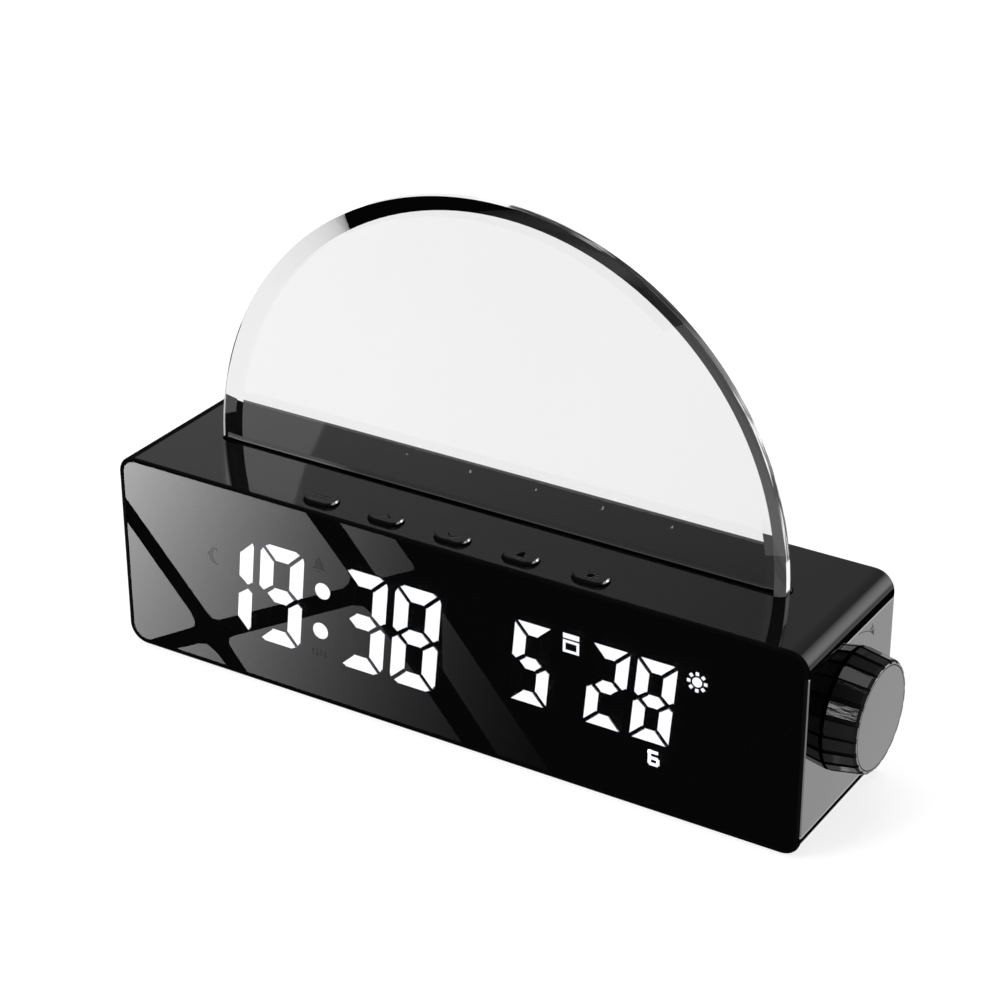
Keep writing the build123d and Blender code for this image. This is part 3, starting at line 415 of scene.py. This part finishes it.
def housing_finish():
    """Black gloss, with a faint painted glow on the slot's back wall."""
    material = surface("housing_gloss", GLOSS_BLACK, 0.03, specular=0.25, grain_height=0.0005 * MM)
    tree = material.node_tree
    x, y, z = axes(tree)
    wall = calc(tree, "MULTIPLY", within(tree, y, *SLOT_BACK, soft=0.01 * MM),
                within(tree, x, -GUIDE_R - BEYOND, GUIDE_R + BEYOND, soft=0.01 * MM))
    painted_wall = calc(tree, "MULTIPLY", wall, ramp_over(tree, z, in_metres(SLOT_DEPTHS, base=TOP_Z)))
    slot = calc(tree, "MULTIPLY", painted_wall, ramp_over(tree, x, in_metres(PAINTED_SLOT_LIGHT)))
    # painted glow on the slot's back wall
    paint_glow(tree, tree.nodes["Principled BSDF"], slot)
    return material


# Painted highlight: a bright metal edge at each button's right-hand end, which catches a glint from the
# studio cards.
GLINT_EDGE = (0.75, 0.75, 0.75)
GLINT_EDGE_X = (0.86, 1.1)        # from here past the end, in shares of the button's length
GLINT_EDGE_Z = (TOP_Z + 0.62 * MM, TOP_Z + 0.985 * MM)


def button_finish():
    """Black gloss button with an edge painted bright metal at its right-hand end, so that the studio cards
    give it a glint: a painted highlight lit by the cards.
    """
    material = surface("button_gloss", GLOSS_BLACK, 0.03, specular=0.25, grain_height=0.0004 * MM)
    tree = material.node_tree
    shader = tree.nodes["Principled BSDF"]
    edge = calc(tree, "MULTIPLY", within(tree, axes(tree, "Generated")[0], *GLINT_EDGE_X, soft=0.001),
                within(tree, axes(tree)[2], *GLINT_EDGE_Z, soft=0.01 * MM))
    black = shader.inputs["Base Color"].links[0].from_socket
    tree.links.new(mix_colours(tree, edge, black, GLINT_EDGE), shader.inputs["Base Color"])
    tree.links.new(edge, shader.inputs["Metallic"])
    return material


def paint(piece, material):
    """Give a CAD node's object its finish, leaving its mesh as it is."""
    if not piece.material_slots:
        piece.data.materials.append(material)
    for slot in piece.material_slots:
        slot.material = material


def paint_nodes():
    grey = panel_finish()
    steel = surface("screw_steel", (0.55, 0.55, 0.56), 0.28, metal=1.0, grain=3000.0, stretch=(1.0, 1.0, 6.0))
    board = surface("board_mask", (0.012, 0.03, 0.018), 0.3, vary=0.25)
    chip = surface("chip_black", (0.02, 0.02, 0.021), 0.5)
    lit = glow_finish("bar_lit", BAR_GLOW)
    finishes = {
        "housing": housing_finish(),
        "window": window_finish(),
        "left_end_panel": grey,
        "right_end_panel": grey,
        "light_guide": acrylic_finish(),
        "knob": knob_finish(),
        "rear_cover": surface("cover_texture", (0.018, 0.018, 0.019), 0.42, grain=2600.0,
                              grain_height=0.02 * MM),
        "base_mat": surface("mat_rubber", (0.02, 0.02, 0.02), 0.75, grain=1800.0, grain_height=0.03 * MM),
        "guide_holder": surface("holder_black", (0.006, 0.006, 0.006), 0.6, specular=0.2),
        "strip_board": board,
        "strip_leds": surface("strip_lens", (0.008, 0.007, 0.003), 0.5, specular=0.0),
        "display_reflector": surface("inner_black", (0.008, 0.008, 0.008), 0.6),
        "display_board": board,
        "display_leds": surface("led_lens", (0.9, 0.84, 0.6), 0.3),
        "time_bars": lit,
        "date_bars": lit,
        "unlit_bars": surface("unlit_bar", (0.06, 0.06, 0.065), 0.5),
        "button_board": board,
        "button_switches": chip,
        "main_board": board,
        "board_chips": chip,
        "speaker_cone": surface("cone_paper", (0.03, 0.03, 0.03), 0.85, grain=4000.0, grain_height=0.04 * MM),
        "speaker_magnet": surface("magnet_ferrite", (0.06, 0.06, 0.062), 0.6),
        "cell_holder": chip,
        "backup_cell": surface("cell_steel", (0.75, 0.75, 0.76), 0.16, metal=1.0),
    }
    for name in ("encoder_shaft", "encoder", "encoder_nut", "encoder_washer", "power_socket", "speaker_frame",
                 "cover_screws", "board_screws", "holder_screws"):
        finishes[name] = steel
    for name, finish in finishes.items():
        paint(nodes[name], finish)
    button = button_finish()
    for piece in BUTTON_PIECES:
        paint(piece, button)


# ---------------------------------------------------------------- outlines of the signs, in mm
def arc(radius, start, end, steps, centre=(0.0, 0.0)):
    """Points on an arc; degrees, counter-clockwise."""
    points = []
    for i in range(steps + 1):
        a = math.radians(start + (end - start) * i / steps)
        points.append((centre[0] + radius * math.cos(a), centre[1] + radius * math.sin(a)))
    return points


def bar(x0, z0, x1, z1, width):
    """A straight stroke as a four-point ring."""
    along = Vector((x1 - x0, z1 - z0)).normalized()
    side = Vector((-along.y, along.x)) * (width / 2)
    return [(x0 + side.x, z0 + side.y), (x1 + side.x, z1 + side.y),
            (x1 - side.x, z1 - side.y), (x0 - side.x, z0 - side.y)]


def stroke(points, width):
    """A chain of straight strokes."""
    return [bar(*a, *b, width) for a, b in zip(points, points[1:])]


def block(x0, z0, x1, z1):
    """An upright rectangle from its lower left to its upper right corner."""
    return [(x0, z0), (x1, z0), (x1, z1), (x0, z1)]


def sun_rings(radius, rays, width):
    """A round disc with rays that stand clear of it."""
    disc = radius * 0.48
    ray_foot = radius * 0.66
    rings = [arc(disc, 0.0, 345.0, 23)]
    for i in range(rays):
        a = math.radians(360.0 * i / rays)
        rings.append(bar(ray_foot * math.cos(a), ray_foot * math.sin(a),
                         radius * math.cos(a), radius * math.sin(a), width))
    return rings


def page_rings(width, height, line):
    """A calendar leaf: a heavy head over an open frame."""
    w, h = width / 2, height / 2
    head = height * 0.26
    gap = 0.45
    low = h - head - gap
    return [block(-w, h - head, w, h),
            block(-w, -h, -w + line, low),
            block(w - line, -h, w, low),
            block(-w + line, -h, w - line, -h + line),
            block(-w + line, low - line, w - line, low)]


def six_rings(width, height, line):
    """The plain figure 6, drawn with straight strokes and a filled upper left corner."""
    w, h = width / 2 - line / 2, height / 2 - line / 2
    corner = block(-w - line / 2, h - line / 2, -w + line / 2, h + line / 2)
    return stroke([(w, h), (-w, h), (-w, -h), (w, -h), (w, 0.0), (-w, 0.0)], line) + [corner]


def bell_rings(size):
    """A full bell with its clapper below and its crown above."""
    s = size / 2
    dome_top = arc(0.5 * s, 0.0, 180.0, 12, (0.0, 0.35 * s))
    skirt = [(-0.55 * s, -0.1 * s), (-0.85 * s, -0.45 * s), (0.85 * s, -0.45 * s), (0.55 * s, -0.1 * s)]
    clapper = arc(0.25 * s, 180.0, 360.0, 8, (0.0, -0.62 * s))
    crown = bar(-0.12 * s, 0.95 * s, 0.12 * s, 0.95 * s, 0.25 * s)
    return [dome_top + skirt, clapper, crown]


def crescent_rings(radius):
    """A crescent that opens to the right."""
    outer = arc(radius, 60.0, 300.0, 20)
    inner = arc(radius * 0.82, 285.0, 75.0, 16, (radius * 0.42, 0.0))
    return [outer + inner]


# ---------------------------------------------------------------- thin printed and lit signs
SIGN_THICK = 0.03       # mm
SUNK = 0.02             # mm of that thickness that lies below the surface it is printed on
# What lies behind the window looks shifted by the refraction, by this much in X and Z.
WINDOW_SHIFT = Vector((0.75, 0.735)) * MM


def sheet_object(name, rings, thick, to_world, material):
    """Flat outlines in a sign's own plane, given a little thickness and put in place."""
    mesh = bpy.data.meshes.new(name)
    work = bmesh.new()
    for ring in rings:
        front = [work.verts.new(to_world(x, z, 0.0)) for x, z in ring]
        back = [work.verts.new(to_world(x, z, thick)) for x, z in ring]
        work.faces.new(front)
        work.faces.new(list(reversed(back)))
        for i in range(len(ring)):
            j = (i + 1) % len(ring)
            work.faces.new((front[i], back[i], back[j], front[j]))
    bmesh.ops.recalc_face_normals(work, faces=work.faces)
    work.to_mesh(mesh)
    work.free()
    mesh.materials.append(material)
    piece = bpy.data.objects.new(name, mesh)
    bpy.context.collection.objects.link(piece)
    return piece


def behind_window(x, z):
    """Maps sign coordinates to a place just behind the window; x, z in mm above the body's foot."""
    cx = x * MM - WINDOW_SHIFT.x
    cz = BASE_Z + z * MM - WINDOW_SHIFT.y

    def to_world(u, v, depth):
        return Vector((cx + u * MM, LEGEND_Y + depth * MM, cz + v * MM))
    return to_world


def on_window(x, z):
    """Maps sign coordinates to the window's outer face; x, z in mm above the body's foot."""
    def to_world(u, v, depth):
        return Vector(((x + u) * MM, WINDOW_FRONT + (depth - SUNK) * MM, BASE_Z + (z + v) * MM))
    return to_world


def on_button(node):
    """Maps sign coordinates to a button's top."""
    low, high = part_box(node)
    cx = (low.x + high.x) / 2
    cy = (low.y + high.y) / 2

    def to_world(u, v, depth):
        return Vector((cx + u * MM, cy + v * MM, high.z + (depth - SUNK) * MM))
    return to_world


def beside_knob(u, v, depth):
    """Maps sign coordinates, from the knob's axis, to the right end panel's face."""
    axis_y = (KNOB_LOW.y + KNOB_HIGH.y) / 2
    axis_z = (KNOB_LOW.z + KNOB_HIGH.z) / 2
    return Vector((PANEL_HIGH.x + (depth - SUNK) * MM, axis_y + u * MM, axis_z + v * MM))


def add_display_signs():
    """Lit signs behind the window; the unlit ones are printed on it and only show against its gloss.

    Returns the unlit ones."""
    lit = glow_finish("sign_lit", BAR_GLOW)
    faint = surface("sign_faint", (0.002, 0.002, 0.002), 0.02, specular=0.36, grain_height=0.0)
    four_bars = [bar(u, -0.9, u, 0.9, 0.5) for u in (-1.8, -0.6, 0.6, 1.8)]
    signs = {
        "month_sign": (page_rings(4.3, 5.0, 0.7), (35.15, 37.6), lit),
        "day_sign": (sun_rings(2.6, 8, 0.85), (67.8, 37.6), lit),
        "weekday_sign": (six_rings(3.1, 4.1, 0.85), (57.35, 14.05), lit),
        "night_sign": (crescent_rings(2.3), (-66.3, 31.9), faint),
        "alarm_sign": (bell_rings(4.2), (-35.0, 38.0), faint),
        "nap_sign": (four_bars, (-35.9, 13.7), faint),
    }
    for name, (rings, place, material) in signs.items():
        to_world = on_window(*place) if material is faint else behind_window(*place)
        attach(sheet_object(name, rings, SIGN_THICK, to_world, material), "clock")
    return [bpy.data.objects[name] for name in ("night_sign", "alarm_sign", "nap_sign")]


MASK_WIDTH = 0.24 * MM
SHORTEST_EDGE = 0.9 * MM
SAME_PLANE = 0.01 * MM
SLANTS = (20.0, 72.0)   # degrees from level: flatter and steeper edges aren't slanting ends


def slanting_ends(node):
    """The slanting edges of a node's bars: two corners each, and the way into the bar."""
    place = nodes[node].matrix_world
    work = bmesh.new()
    work.from_mesh(nodes[node].data)
    bmesh.ops.remove_doubles(work, verts=work.verts, dist=0.001 * MM)
    front = [face for face in work.faces if (place @ face.calc_center_median()).y < BARS_FRONT + SAME_PLANE]
    ends = []
    for face in front:
        centre = place @ face.calc_center_median()
        for edge in face.edges:
            if any(other in front for other in edge.link_faces if other is not face):
                continue
            a, b = (place @ vert.co for vert in edge.verts)
            along = b - a
            slope = math.degrees(math.atan2(abs(along.z), abs(along.x)))
            if along.length < SHORTEST_EDGE or not SLANTS[0] < slope < SLANTS[1]:
                continue
            inward = Vector((-along.z, 0.0, along.x)).normalized()
            if inward.dot(centre - a) < 0:
                inward = -inward
            ends.append((a, b, inward))
    work.free()
    return ends


def add_bar_mask():
    """Black printed edge along the slanting ends of the bars, which parts them more clearly."""
    black = surface("mask_black", (0.003, 0.003, 0.003), 0.6, specular=0.1)
    corners = []
    faces = []
    for a, b, inward in slanting_ends("time_bars") + slanting_ends("date_bars"):
        first = len(corners)
        for point in (a, b, b + inward * MASK_WIDTH, a + inward * MASK_WIDTH):
            corners.append(Vector((point.x, MASK_Y, point.z)))
        faces.append(list(range(first, first + 4)))
    mesh = bpy.data.meshes.new("bar_mask")
    mesh.from_pydata(corners, [], faces)
    mesh.materials.append(black)
    mask = bpy.data.objects.new("bar_mask", mesh)
    bpy.context.collection.objects.link(mask)
    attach(mask, "clock")


def add_button_signs():
    """Sunk signs: a black line, with a painted highlight line along its lower right side."""
    ink = surface("sign_ink", (0.002, 0.002, 0.002), 0.7, specular=0.0)
    light = surface("sign_painted_highlight", (0.09, 0.09, 0.09), 0.5, specular=0.2)
    line = 0.32
    signs = {
        "mode_button": [bar(-1.9, v, 1.9, v, line) for v in (-0.8, 0.0, 0.8)],
        "up_button": stroke([(-1.6, -0.6), (0.0, 0.8), (1.6, -0.6)], line),
        "down_button": stroke([(-1.6, 0.6), (0.0, -0.8), (1.6, 0.6)], line),
        "alarm_button": bell_rings(3.5),
        "light_button": sun_rings(1.8, 8, 0.3),
    }
    shift = 0.14            # of the lighter line, to the lower right
    edge_thick = 0.025      # a little less than the ink, which covers it
    for node, rings in signs.items():
        # the painted highlight line, shifted to the lower right of the black one
        lower = [[(x + shift, z - shift) for x, z in ring] for ring in rings]
        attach(sheet_object(node + "_sign_painted_highlight", lower, edge_thick, on_button(node), light), node)
        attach(sheet_object(node + "_sign", rings, SIGN_THICK, on_button(node), ink), node)


def add_panel_signs():
    """Curved arrow and plus sign beside the knob, in mm from its axis."""
    ink = surface("panel_ink", (0.02, 0.02, 0.02), 0.5)
    curve = arc(radius=18.0, start=80.0, end=54.0, steps=12)
    tip_x, tip_z = curve[-1]
    head = [(tip_x + 1.0, tip_z - 1.3), (tip_x - 0.6, tip_z + 0.2), (tip_x + 0.9, tip_z + 0.7)]
    plus = [bar(9.2, 15.9, 11.4, 15.9, 0.35), bar(10.3, 14.8, 10.3, 17.0, 0.35)]
    piece = sheet_object("turn_sign", stroke(curve, 0.22) + [head] + plus, SIGN_THICK, beside_knob, ink)
    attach(piece, "clock")


# ---------------------------------------------------------------- studio: cards that only show in gloss
def bare_tree(name):
    """A material without nodes but its output: returns it, its tree and the output."""
    material = bpy.data.materials.new(name)
    material.use_nodes = True
    tree = material.node_tree
    tree.nodes.clear()
    return material, tree, tree.nodes.new("ShaderNodeOutputMaterial")


def attribute(tree, name):
    """A value stored on a mesh's points."""
    node = tree.nodes.new("ShaderNodeAttribute")
    node.attribute_name = name
    return node.outputs["Fac"]


def emission_tree(name):
    """A material that only glows: returns it, its tree and its emission node."""
    material, tree, out = bare_tree(name)
    glow = tree.nodes.new("ShaderNodeEmission")
    tree.links.new(glow.outputs["Emission"], out.inputs["Surface"])
    return material, tree, glow


def even_light(name, strength):
    """A glow of one strength."""
    material, _, glow = emission_tree(name)
    glow.inputs["Strength"].default_value = strength
    return material


def graded_light(name):
    """A glow whose strength the mesh's points give."""
    material, tree, glow = emission_tree(name)
    tree.links.new(attribute(tree, "glow"), glow.inputs["Strength"])
    return material


def glossy_only(card, through_glass=False):
    """A studio card that only shows in gloss, and if asked also to rays that came through glass."""
    card.visible_camera = False
    card.visible_diffuse = False
    card.visible_transmission = through_glass
    card.visible_shadow = False
    card.visible_volume_scatter = False


def link_light(card, receivers):
    """The card lights these objects alone."""
    group = bpy.data.collections.new(card.name + "_receivers")
    for receiver in receivers:
        group.objects.link(receiver)
    card.light_linking.receiver_collection = group


def store_on_points(mesh, name, values):
    """Keep one value per point of a mesh, under a name that a material can read."""
    layer = mesh.attributes.new(name, "FLOAT", "POINT")
    for i, value in enumerate(values):
        layer.data[i].value = value


def card_object(name, faces, material, strengths=None):
    """Faces given as lists of corners; strengths hold one value per corner."""
    corners = [corner for face in faces for corner in face]
    mesh = bpy.data.meshes.new(name)
    index = 0
    polygons = []
    for face in faces:
        polygons.append(list(range(index, index + len(face))))
        index += len(face)
    mesh.from_pydata(corners, [], polygons)
    if strengths:
        store_on_points(mesh, "glow", [value for face in strengths for value in face])
    mesh.materials.append(material)
    card = bpy.data.objects.new(name, mesh)
    bpy.context.collection.objects.link(card)
    return card


def seen_in_front(point, height):
    """Where on a level plane the camera's mirror image in the window sees this point of the window."""
    mirrored = Vector((EYE.x, 2 * WINDOW_FRONT - EYE.y, EYE.z))
    way = point - mirrored
    return mirrored + way * ((height - mirrored.z) / way.z)


def seen_in_top(point, depth):
    """Where on an upright plane behind the clock the camera's mirror image in the top sees this point."""
    mirrored = Vector((EYE.x, EYE.y, 2 * TOP_Z - EYE.z))
    way = point - mirrored
    return mirrored + way * ((depth - mirrored.y) / way.y)


def on_floor(x, z, height):
    """Where near the floor the window shows what is seen at x, z on it; mm above the body's foot."""
    return seen_in_front(Vector((x * MM, WINDOW_FRONT, BASE_Z + z * MM)), height)


def on_top(x, y):
    """A point of the top face; y in mm from the body's front."""
    return Vector((x * MM, BODY_LOW.y + y * MM, TOP_Z))


PANE_HEIGHT = 0.3 * MM  # how far above the floor the panes lie
GLASS_LEVEL = 0.04      # what the window reflects between the panes
GLASS_REACH = (-95, 0, 95, 53)      # in mm as the outlines below, a little more than the window
PANE_OUTLINES = (       # as they are seen on the window: mm from its middle and above the body's foot
    [(-93.8, 51.6), (-38.5, 51.6), (-26.6, 38.9), (-26.0, 37.6), (-26.4, 36.0), (-28.0, 34.0), (-66.0, 14.0),
     (-68.3, 13.6), (-70.0, 15.0), (-93.8, 41.0)],
    [(-93.8, 34.0), (-75.0, 13.3), (-74.0, 11.0), (-74.2, 9.8), (-75.5, 8.8), (-89.5, 1.0), (-93.8, 1.0)],
    [(-81.0, 1.0), (-73.0, 5.0), (-70.5, 5.6), (-67.5, 4.0), (-64.5, 1.0)],
    [(-58.0, 1.0), (-63.0, 7.0), (-63.6, 8.2), (-63.2, 9.6), (-61.5, 10.8), (-25.5, 30.0), (-22.5, 30.7),
     (-19.5, 29.0), (-4.0, 12.0), (5.5, 1.0)],
    [(-28.5, 51.6), (-13.0, 51.6), (-7.8, 46.0), (-7.6, 45.0), (-8.3, 44.4), (-16.5, 40.2), (-18.5, 40.4)],
    [(0.0, 36.0), (30.0, 1.0), (15.5, 1.0), (0.0, 20.0)],
)
# The panes' brightness is e to the power of: bend x^2 + fall x + rise z + middle, in units of 100 mm.
PANE_BEND, PANE_FALL, PANE_RISE, PANE_MIDDLE = -1.263, -4.192, 1.272, -1.366
PANE_UNIT = 100.0


def pane_material():
    """Brightness of the reflected panes: falls off towards the knob's end and towards the foot.

    The attributes across and up hold the place on the window in units of 100 mm."""
    material, tree, glow = emission_tree("pane_light")
    across = attribute(tree, "across")
    up = attribute(tree, "up")
    slope = calc(tree, "MULTIPLY_ADD", across, PANE_BEND, PANE_FALL)
    level = calc(tree, "MULTIPLY_ADD", across, slope, PANE_MIDDLE)
    level = calc(tree, "MULTIPLY_ADD", up, PANE_RISE, level)
    tree.links.new(calc(tree, "EXPONENT", level), glow.inputs["Strength"])
    return material


def window_panes(receivers):
    """Window-like bright panes reflected in the clock's window, over an even faint level."""
    faces = [[on_floor(x, z, PANE_HEIGHT) for x, z in outline] for outline in PANE_OUTLINES]
    card = card_object("window_panes", faces, pane_material())
    places = [place for outline in PANE_OUTLINES for place in outline]
    store_on_points(card.data, "across", [x / PANE_UNIT for x, z in places])
    store_on_points(card.data, "up", [z / PANE_UNIT for x, z in places])
    glossy_only(card)
    link_light(card, receivers)
    whole = [on_floor(x, z, PANE_HEIGHT / 2) for x, z in block(*GLASS_REACH)]
    base = card_object("glass_level", [whole], even_light("glass_level", GLASS_LEVEL))
    glossy_only(base)
    link_light(base, receivers)


# Cards that the top mirrors, as they are seen on the top face: mm from its middle and from its front edge.
BACK_DEPTH = 0.5        # their y
TOP_LEVELS = ((-130.0, 0.6), (-84.0, 0.6), (-50.0, 0.6), (0.0, 0.54), (60.0, 0.46), (84.0, 0.41),
              (130.0, 0.41))
TOP_DEPTHS = (-20.0, 46.0)
TOP_PATCH = ((-62.0, 0.5), (-76.0, 18.5), (-92.0, 44.3), (-62.0, 44.3), (-51.0, 19.0), (-41.5, 0.5))
PATCH_LEVEL = 1.3
DARK_LEVEL = 0.01
PATCH_AHEAD = 5 * MM    # how far the patch stands in front of the grey card
DARK_ACROSS = (-0.9, -0.05)     # x of the dark card's two ends, in metres
CARD_GAP = 2 * MM       # how far the dark card stays behind and below the grey one


def top_cards():
    """What the top reflects: grey, lighter to the left, with one soft bright patch, and dark low down."""
    faces = []
    levels = []
    near, far = TOP_DEPTHS
    for (xa, la), (xb, lb) in zip(TOP_LEVELS, TOP_LEVELS[1:]):
        faces.append([seen_in_top(on_top(x, y), BACK_DEPTH) for x, y in block(xa, near, xb, far)])
        levels.append([la, lb, lb, la])
    grey = card_object("top_grey", faces, graded_light("grey_light"), levels)
    glossy_only(grey, through_glass=True)
    patch = [seen_in_top(on_top(x, y), BACK_DEPTH - PATCH_AHEAD) for x, y in TOP_PATCH]
    glossy_only(card_object("top_patch", [patch], even_light("card_light", PATCH_LEVEL)), through_glass=True)
    left, right = DARK_ACROSS
    upper = min(corner.z for face in faces for corner in face) - CARD_GAP
    dark = [Vector((x, BACK_DEPTH + CARD_GAP, z)) for x, z in block(left, MM, right, upper)]
    wall = card_object("back_dark", [dark], even_light("back_dark_wall", DARK_LEVEL))
    glossy_only(wall, through_glass=True)


CORNER_LEVELS = ((14.0, 0.4), (28.0, 0.4), (38.0, 2.3), (47.0, 3.4), (57.0, 3.5), (63.0, 2.2), (67.5, 0.5))
CORNER_REACH = 1.1      # the card's distance from the edge
CORNER_HALF_WIDTH = 0.28


def corner_card():
    """Soft light along the body's right-hand upper edge; levels by the edge's slope in degrees."""
    middle = Vector((HALF_W, 0.0, TOP_Z))
    look = (middle - EYE).normalized()
    rows = []
    for slope, level in CORNER_LEVELS:
        a = math.radians(slope)
        normal = Vector((math.sin(a), 0.0, math.cos(a)))
        rows.append((look - 2 * look.dot(normal) * normal, level))
    faces = []
    strengths = []
    for (first, la), (second, lb) in zip(rows, rows[1:]):
        side = first.cross(second).normalized() * CORNER_HALF_WIDTH
        start, end = (middle + way * CORNER_REACH for way in (first, second))
        faces.append([start - side, start + side, end + side, end - side])
        strengths.append([la, la, lb, lb])
    card = card_object("corner_card", faces, graded_light("corner_light"), strengths)
    glossy_only(card, through_glass=True)


DOME_RADIUS = 1.6
DOME_STEP = 10
DOME_ROWS = 10


def dome(name, first, last, foot, strength):
    """Part of a round studio wall, seen only in gloss.

    First and last are azimuths from the front, foot is the elevation where it starts, all in degrees."""
    tall = (90.0 - foot) / DOME_ROWS
    faces = []
    for azimuth in range(first, last, DOME_STEP):
        for elevation in (foot + tall * row for row in range(DOME_ROWS)):
            corners = []
            for across, up in block(0, 0, DOME_STEP, tall):
                corners.append(direction(azimuth + across, elevation + up) * DOME_RADIUS)
            faces.append(corners)
    glossy_only(card_object(name, faces, even_light(name + "_wall", strength)), through_glass=True)


def soft_box(name, way, width, height, strength, distance=1.2, receivers=None):
    """Bright card seen only in gloss, facing the clock from a direction; it may light some pieces alone."""
    towards = Vector(way).normalized()
    side = towards.cross(Vector((0, 0, 1))).normalized()
    up = side.cross(towards)
    middle = towards * distance
    corners = [middle + side * (i * width / 2) + up * (j * height / 2) for i, j in block(-1, -1, 1, 1)]
    card = card_object(name, [corners], even_light(name + "_light", strength))
    glossy_only(card)
    if receivers:
        link_light(card, receivers)


def floor_card(name, x0, x1, y0, y1, strength, height=0.1 * MM):
    """Bright part of the floor, mirrored in the body's right-hand corners."""
    face = [Vector((x, y, height)) for x, y in block(x0, y0, x1, y1)]
    glossy_only(card_object(name, [face], even_light(name + "_light", strength)))


def make_reflections(glass):
    window_panes(glass)
    top_cards()
    dome("front_dark", first=-120, last=60, foot=0.05, strength=0.03)
    dome("back_grey", first=60, last=240, foot=4.0, strength=0.4)
    corner_card()
    soft_box("knob_box", (-0.01, -0.935, 0.352), width=0.3, height=0.2, strength=36.0)
    soft_box("knob_top_box", (-0.05, 0.074, 0.996), width=0.5, height=0.8, strength=9.0)
    soft_box("button_box", (0.458, -0.757, 0.467), width=0.25, height=0.25, strength=6.0, distance=0.6,
             receivers=BUTTON_PIECES)
    floor_card("floor_edge", x0=HALF_W - 4 * MM, x1=HALF_W + 0.6 * MM, y0=BODY_LOW.y + MM,
               y1=BODY_HIGH.y + 8 * MM, strength=1.7)
    floor_card("floor_side", x0=HALF_W + 0.095, x1=HALF_W + 0.75, y0=0.08, y1=0.95, strength=0.9)


# ---------------------------------------------------------------- studio: floor, world and lamps
FLOOR_HALF = 3.0
FLOOR_COLOUR = (0.28, 0.28, 0.28)
FLOOR_GLOW = 0.82       # added to the lit floor, so that it renders white
AMBIENT = 0.35


def floor_finish():
    """Pale, with a soft shadow; plain white in gloss and through glass."""
    material, tree, out = bare_tree("floor_pale")
    path = tree.nodes.new("ShaderNodeLightPath")
    diffuse = tree.nodes.new("ShaderNodeBsdfDiffuse")
    diffuse.inputs["Color"].default_value = (*FLOOR_COLOUR, 1.0)
    glow = tree.nodes.new("ShaderNodeEmission")
    glow.inputs["Strength"].default_value = FLOOR_GLOW
    white = tree.nodes.new("ShaderNodeEmission")
    lit = tree.nodes.new("ShaderNodeAddShader")
    tree.links.new(diffuse.outputs["BSDF"], lit.inputs[0])
    tree.links.new(glow.outputs["Emission"], lit.inputs[1])
    mix = tree.nodes.new("ShaderNodeMixShader")
    mirrored = calc(tree, "MAXIMUM", path.outputs["Is Glossy Ray"], path.outputs["Is Transmission Ray"])
    tree.links.new(mirrored, mix.inputs["Fac"])
    tree.links.new(lit.outputs["Shader"], mix.inputs[1])
    tree.links.new(white.outputs["Emission"], mix.inputs[2])
    tree.links.new(mix.outputs["Shader"], out.inputs["Surface"])
    return material


def make_floor(glass):
    """Pale floor; the window, the housing and the buttons take no light from it and don't mirror it."""
    mesh = bpy.data.meshes.new("floor")
    corners = [(x, y, 0) for x, y in block(-FLOOR_HALF, -FLOOR_HALF, FLOOR_HALF, FLOOR_HALF)]
    mesh.from_pydata(corners, [], [(0, 1, 2, 3)])
    mesh.materials.append(floor_finish())
    floor = bpy.data.objects.new("floor", mesh)
    bpy.context.collection.objects.link(floor)
    link_light(floor, glass + [nodes["housing"]] + BUTTON_PIECES)
    # Turned round: the floor lights everything but these.
    for entry in floor.light_linking.receiver_collection.collection_objects:
        entry.light_linking.link_state = "EXCLUDE"


def make_world():
    """White to the camera, in gloss and through glass; a plain level of light on everything else."""
    world = bpy.data.worlds.new("studio")
    bpy.context.scene.world = world
    world.use_nodes = True
    tree = world.node_tree
    tree.nodes.clear()
    out = tree.nodes.new("ShaderNodeOutputWorld")
    path = tree.nodes.new("ShaderNodeLightPath")
    shown = tree.nodes.new("ShaderNodeBackground")
    shown.inputs["Color"].default_value = (1.0, 1.0, 1.0, 1.0)
    fill = tree.nodes.new("ShaderNodeBackground")
    fill.inputs["Color"].default_value = (1.0, 1.0, 1.0, 1.0)
    fill.inputs["Strength"].default_value = AMBIENT
    direct = calc(tree, "MAXIMUM", path.outputs["Is Camera Ray"], path.outputs["Is Glossy Ray"])
    seen = calc(tree, "MAXIMUM", direct, path.outputs["Is Transmission Ray"])
    mix = tree.nodes.new("ShaderNodeMixShader")
    tree.links.new(seen, mix.inputs["Fac"])
    tree.links.new(fill.outputs["Background"], mix.inputs[1])
    tree.links.new(shown.outputs["Background"], mix.inputs[2])
    tree.links.new(mix.outputs["Shader"], out.inputs["Surface"])


def area_light(name, place, aim, size, power):
    """Square lamp that lights surfaces, but shows neither in gloss nor through glass."""
    data = bpy.data.lights.new(name, "AREA")
    data.shape = "RECTANGLE"
    data.size = size
    data.size_y = size
    data.energy = power
    lamp = bpy.data.objects.new(name, data)
    bpy.context.collection.objects.link(lamp)
    lamp.location = place
    lamp.rotation_mode = "QUATERNION"
    lamp.rotation_quaternion = (Vector(aim) - Vector(place)).to_track_quat("-Z", "Y")
    lamp.visible_glossy = False
    lamp.visible_transmission = False


def make_lights():
    area_light("key", place=(-0.55, -0.9, 0.75), aim=(0, 0, 0.05), size=0.5, power=9.0)
    area_light("overhead", place=(-0.1, 0.1, 1.3), aim=(0, 0, 0), size=0.8, power=8.0)


make_camera()
paint_nodes()
window_front = [nodes["window"]] + add_display_signs()
add_bar_mask()
add_button_signs()
add_panel_signs()
make_world()
make_floor(window_front)
make_lights()
make_reflections(window_front)

bpy.context.scene.view_settings.view_transform = "Standard"
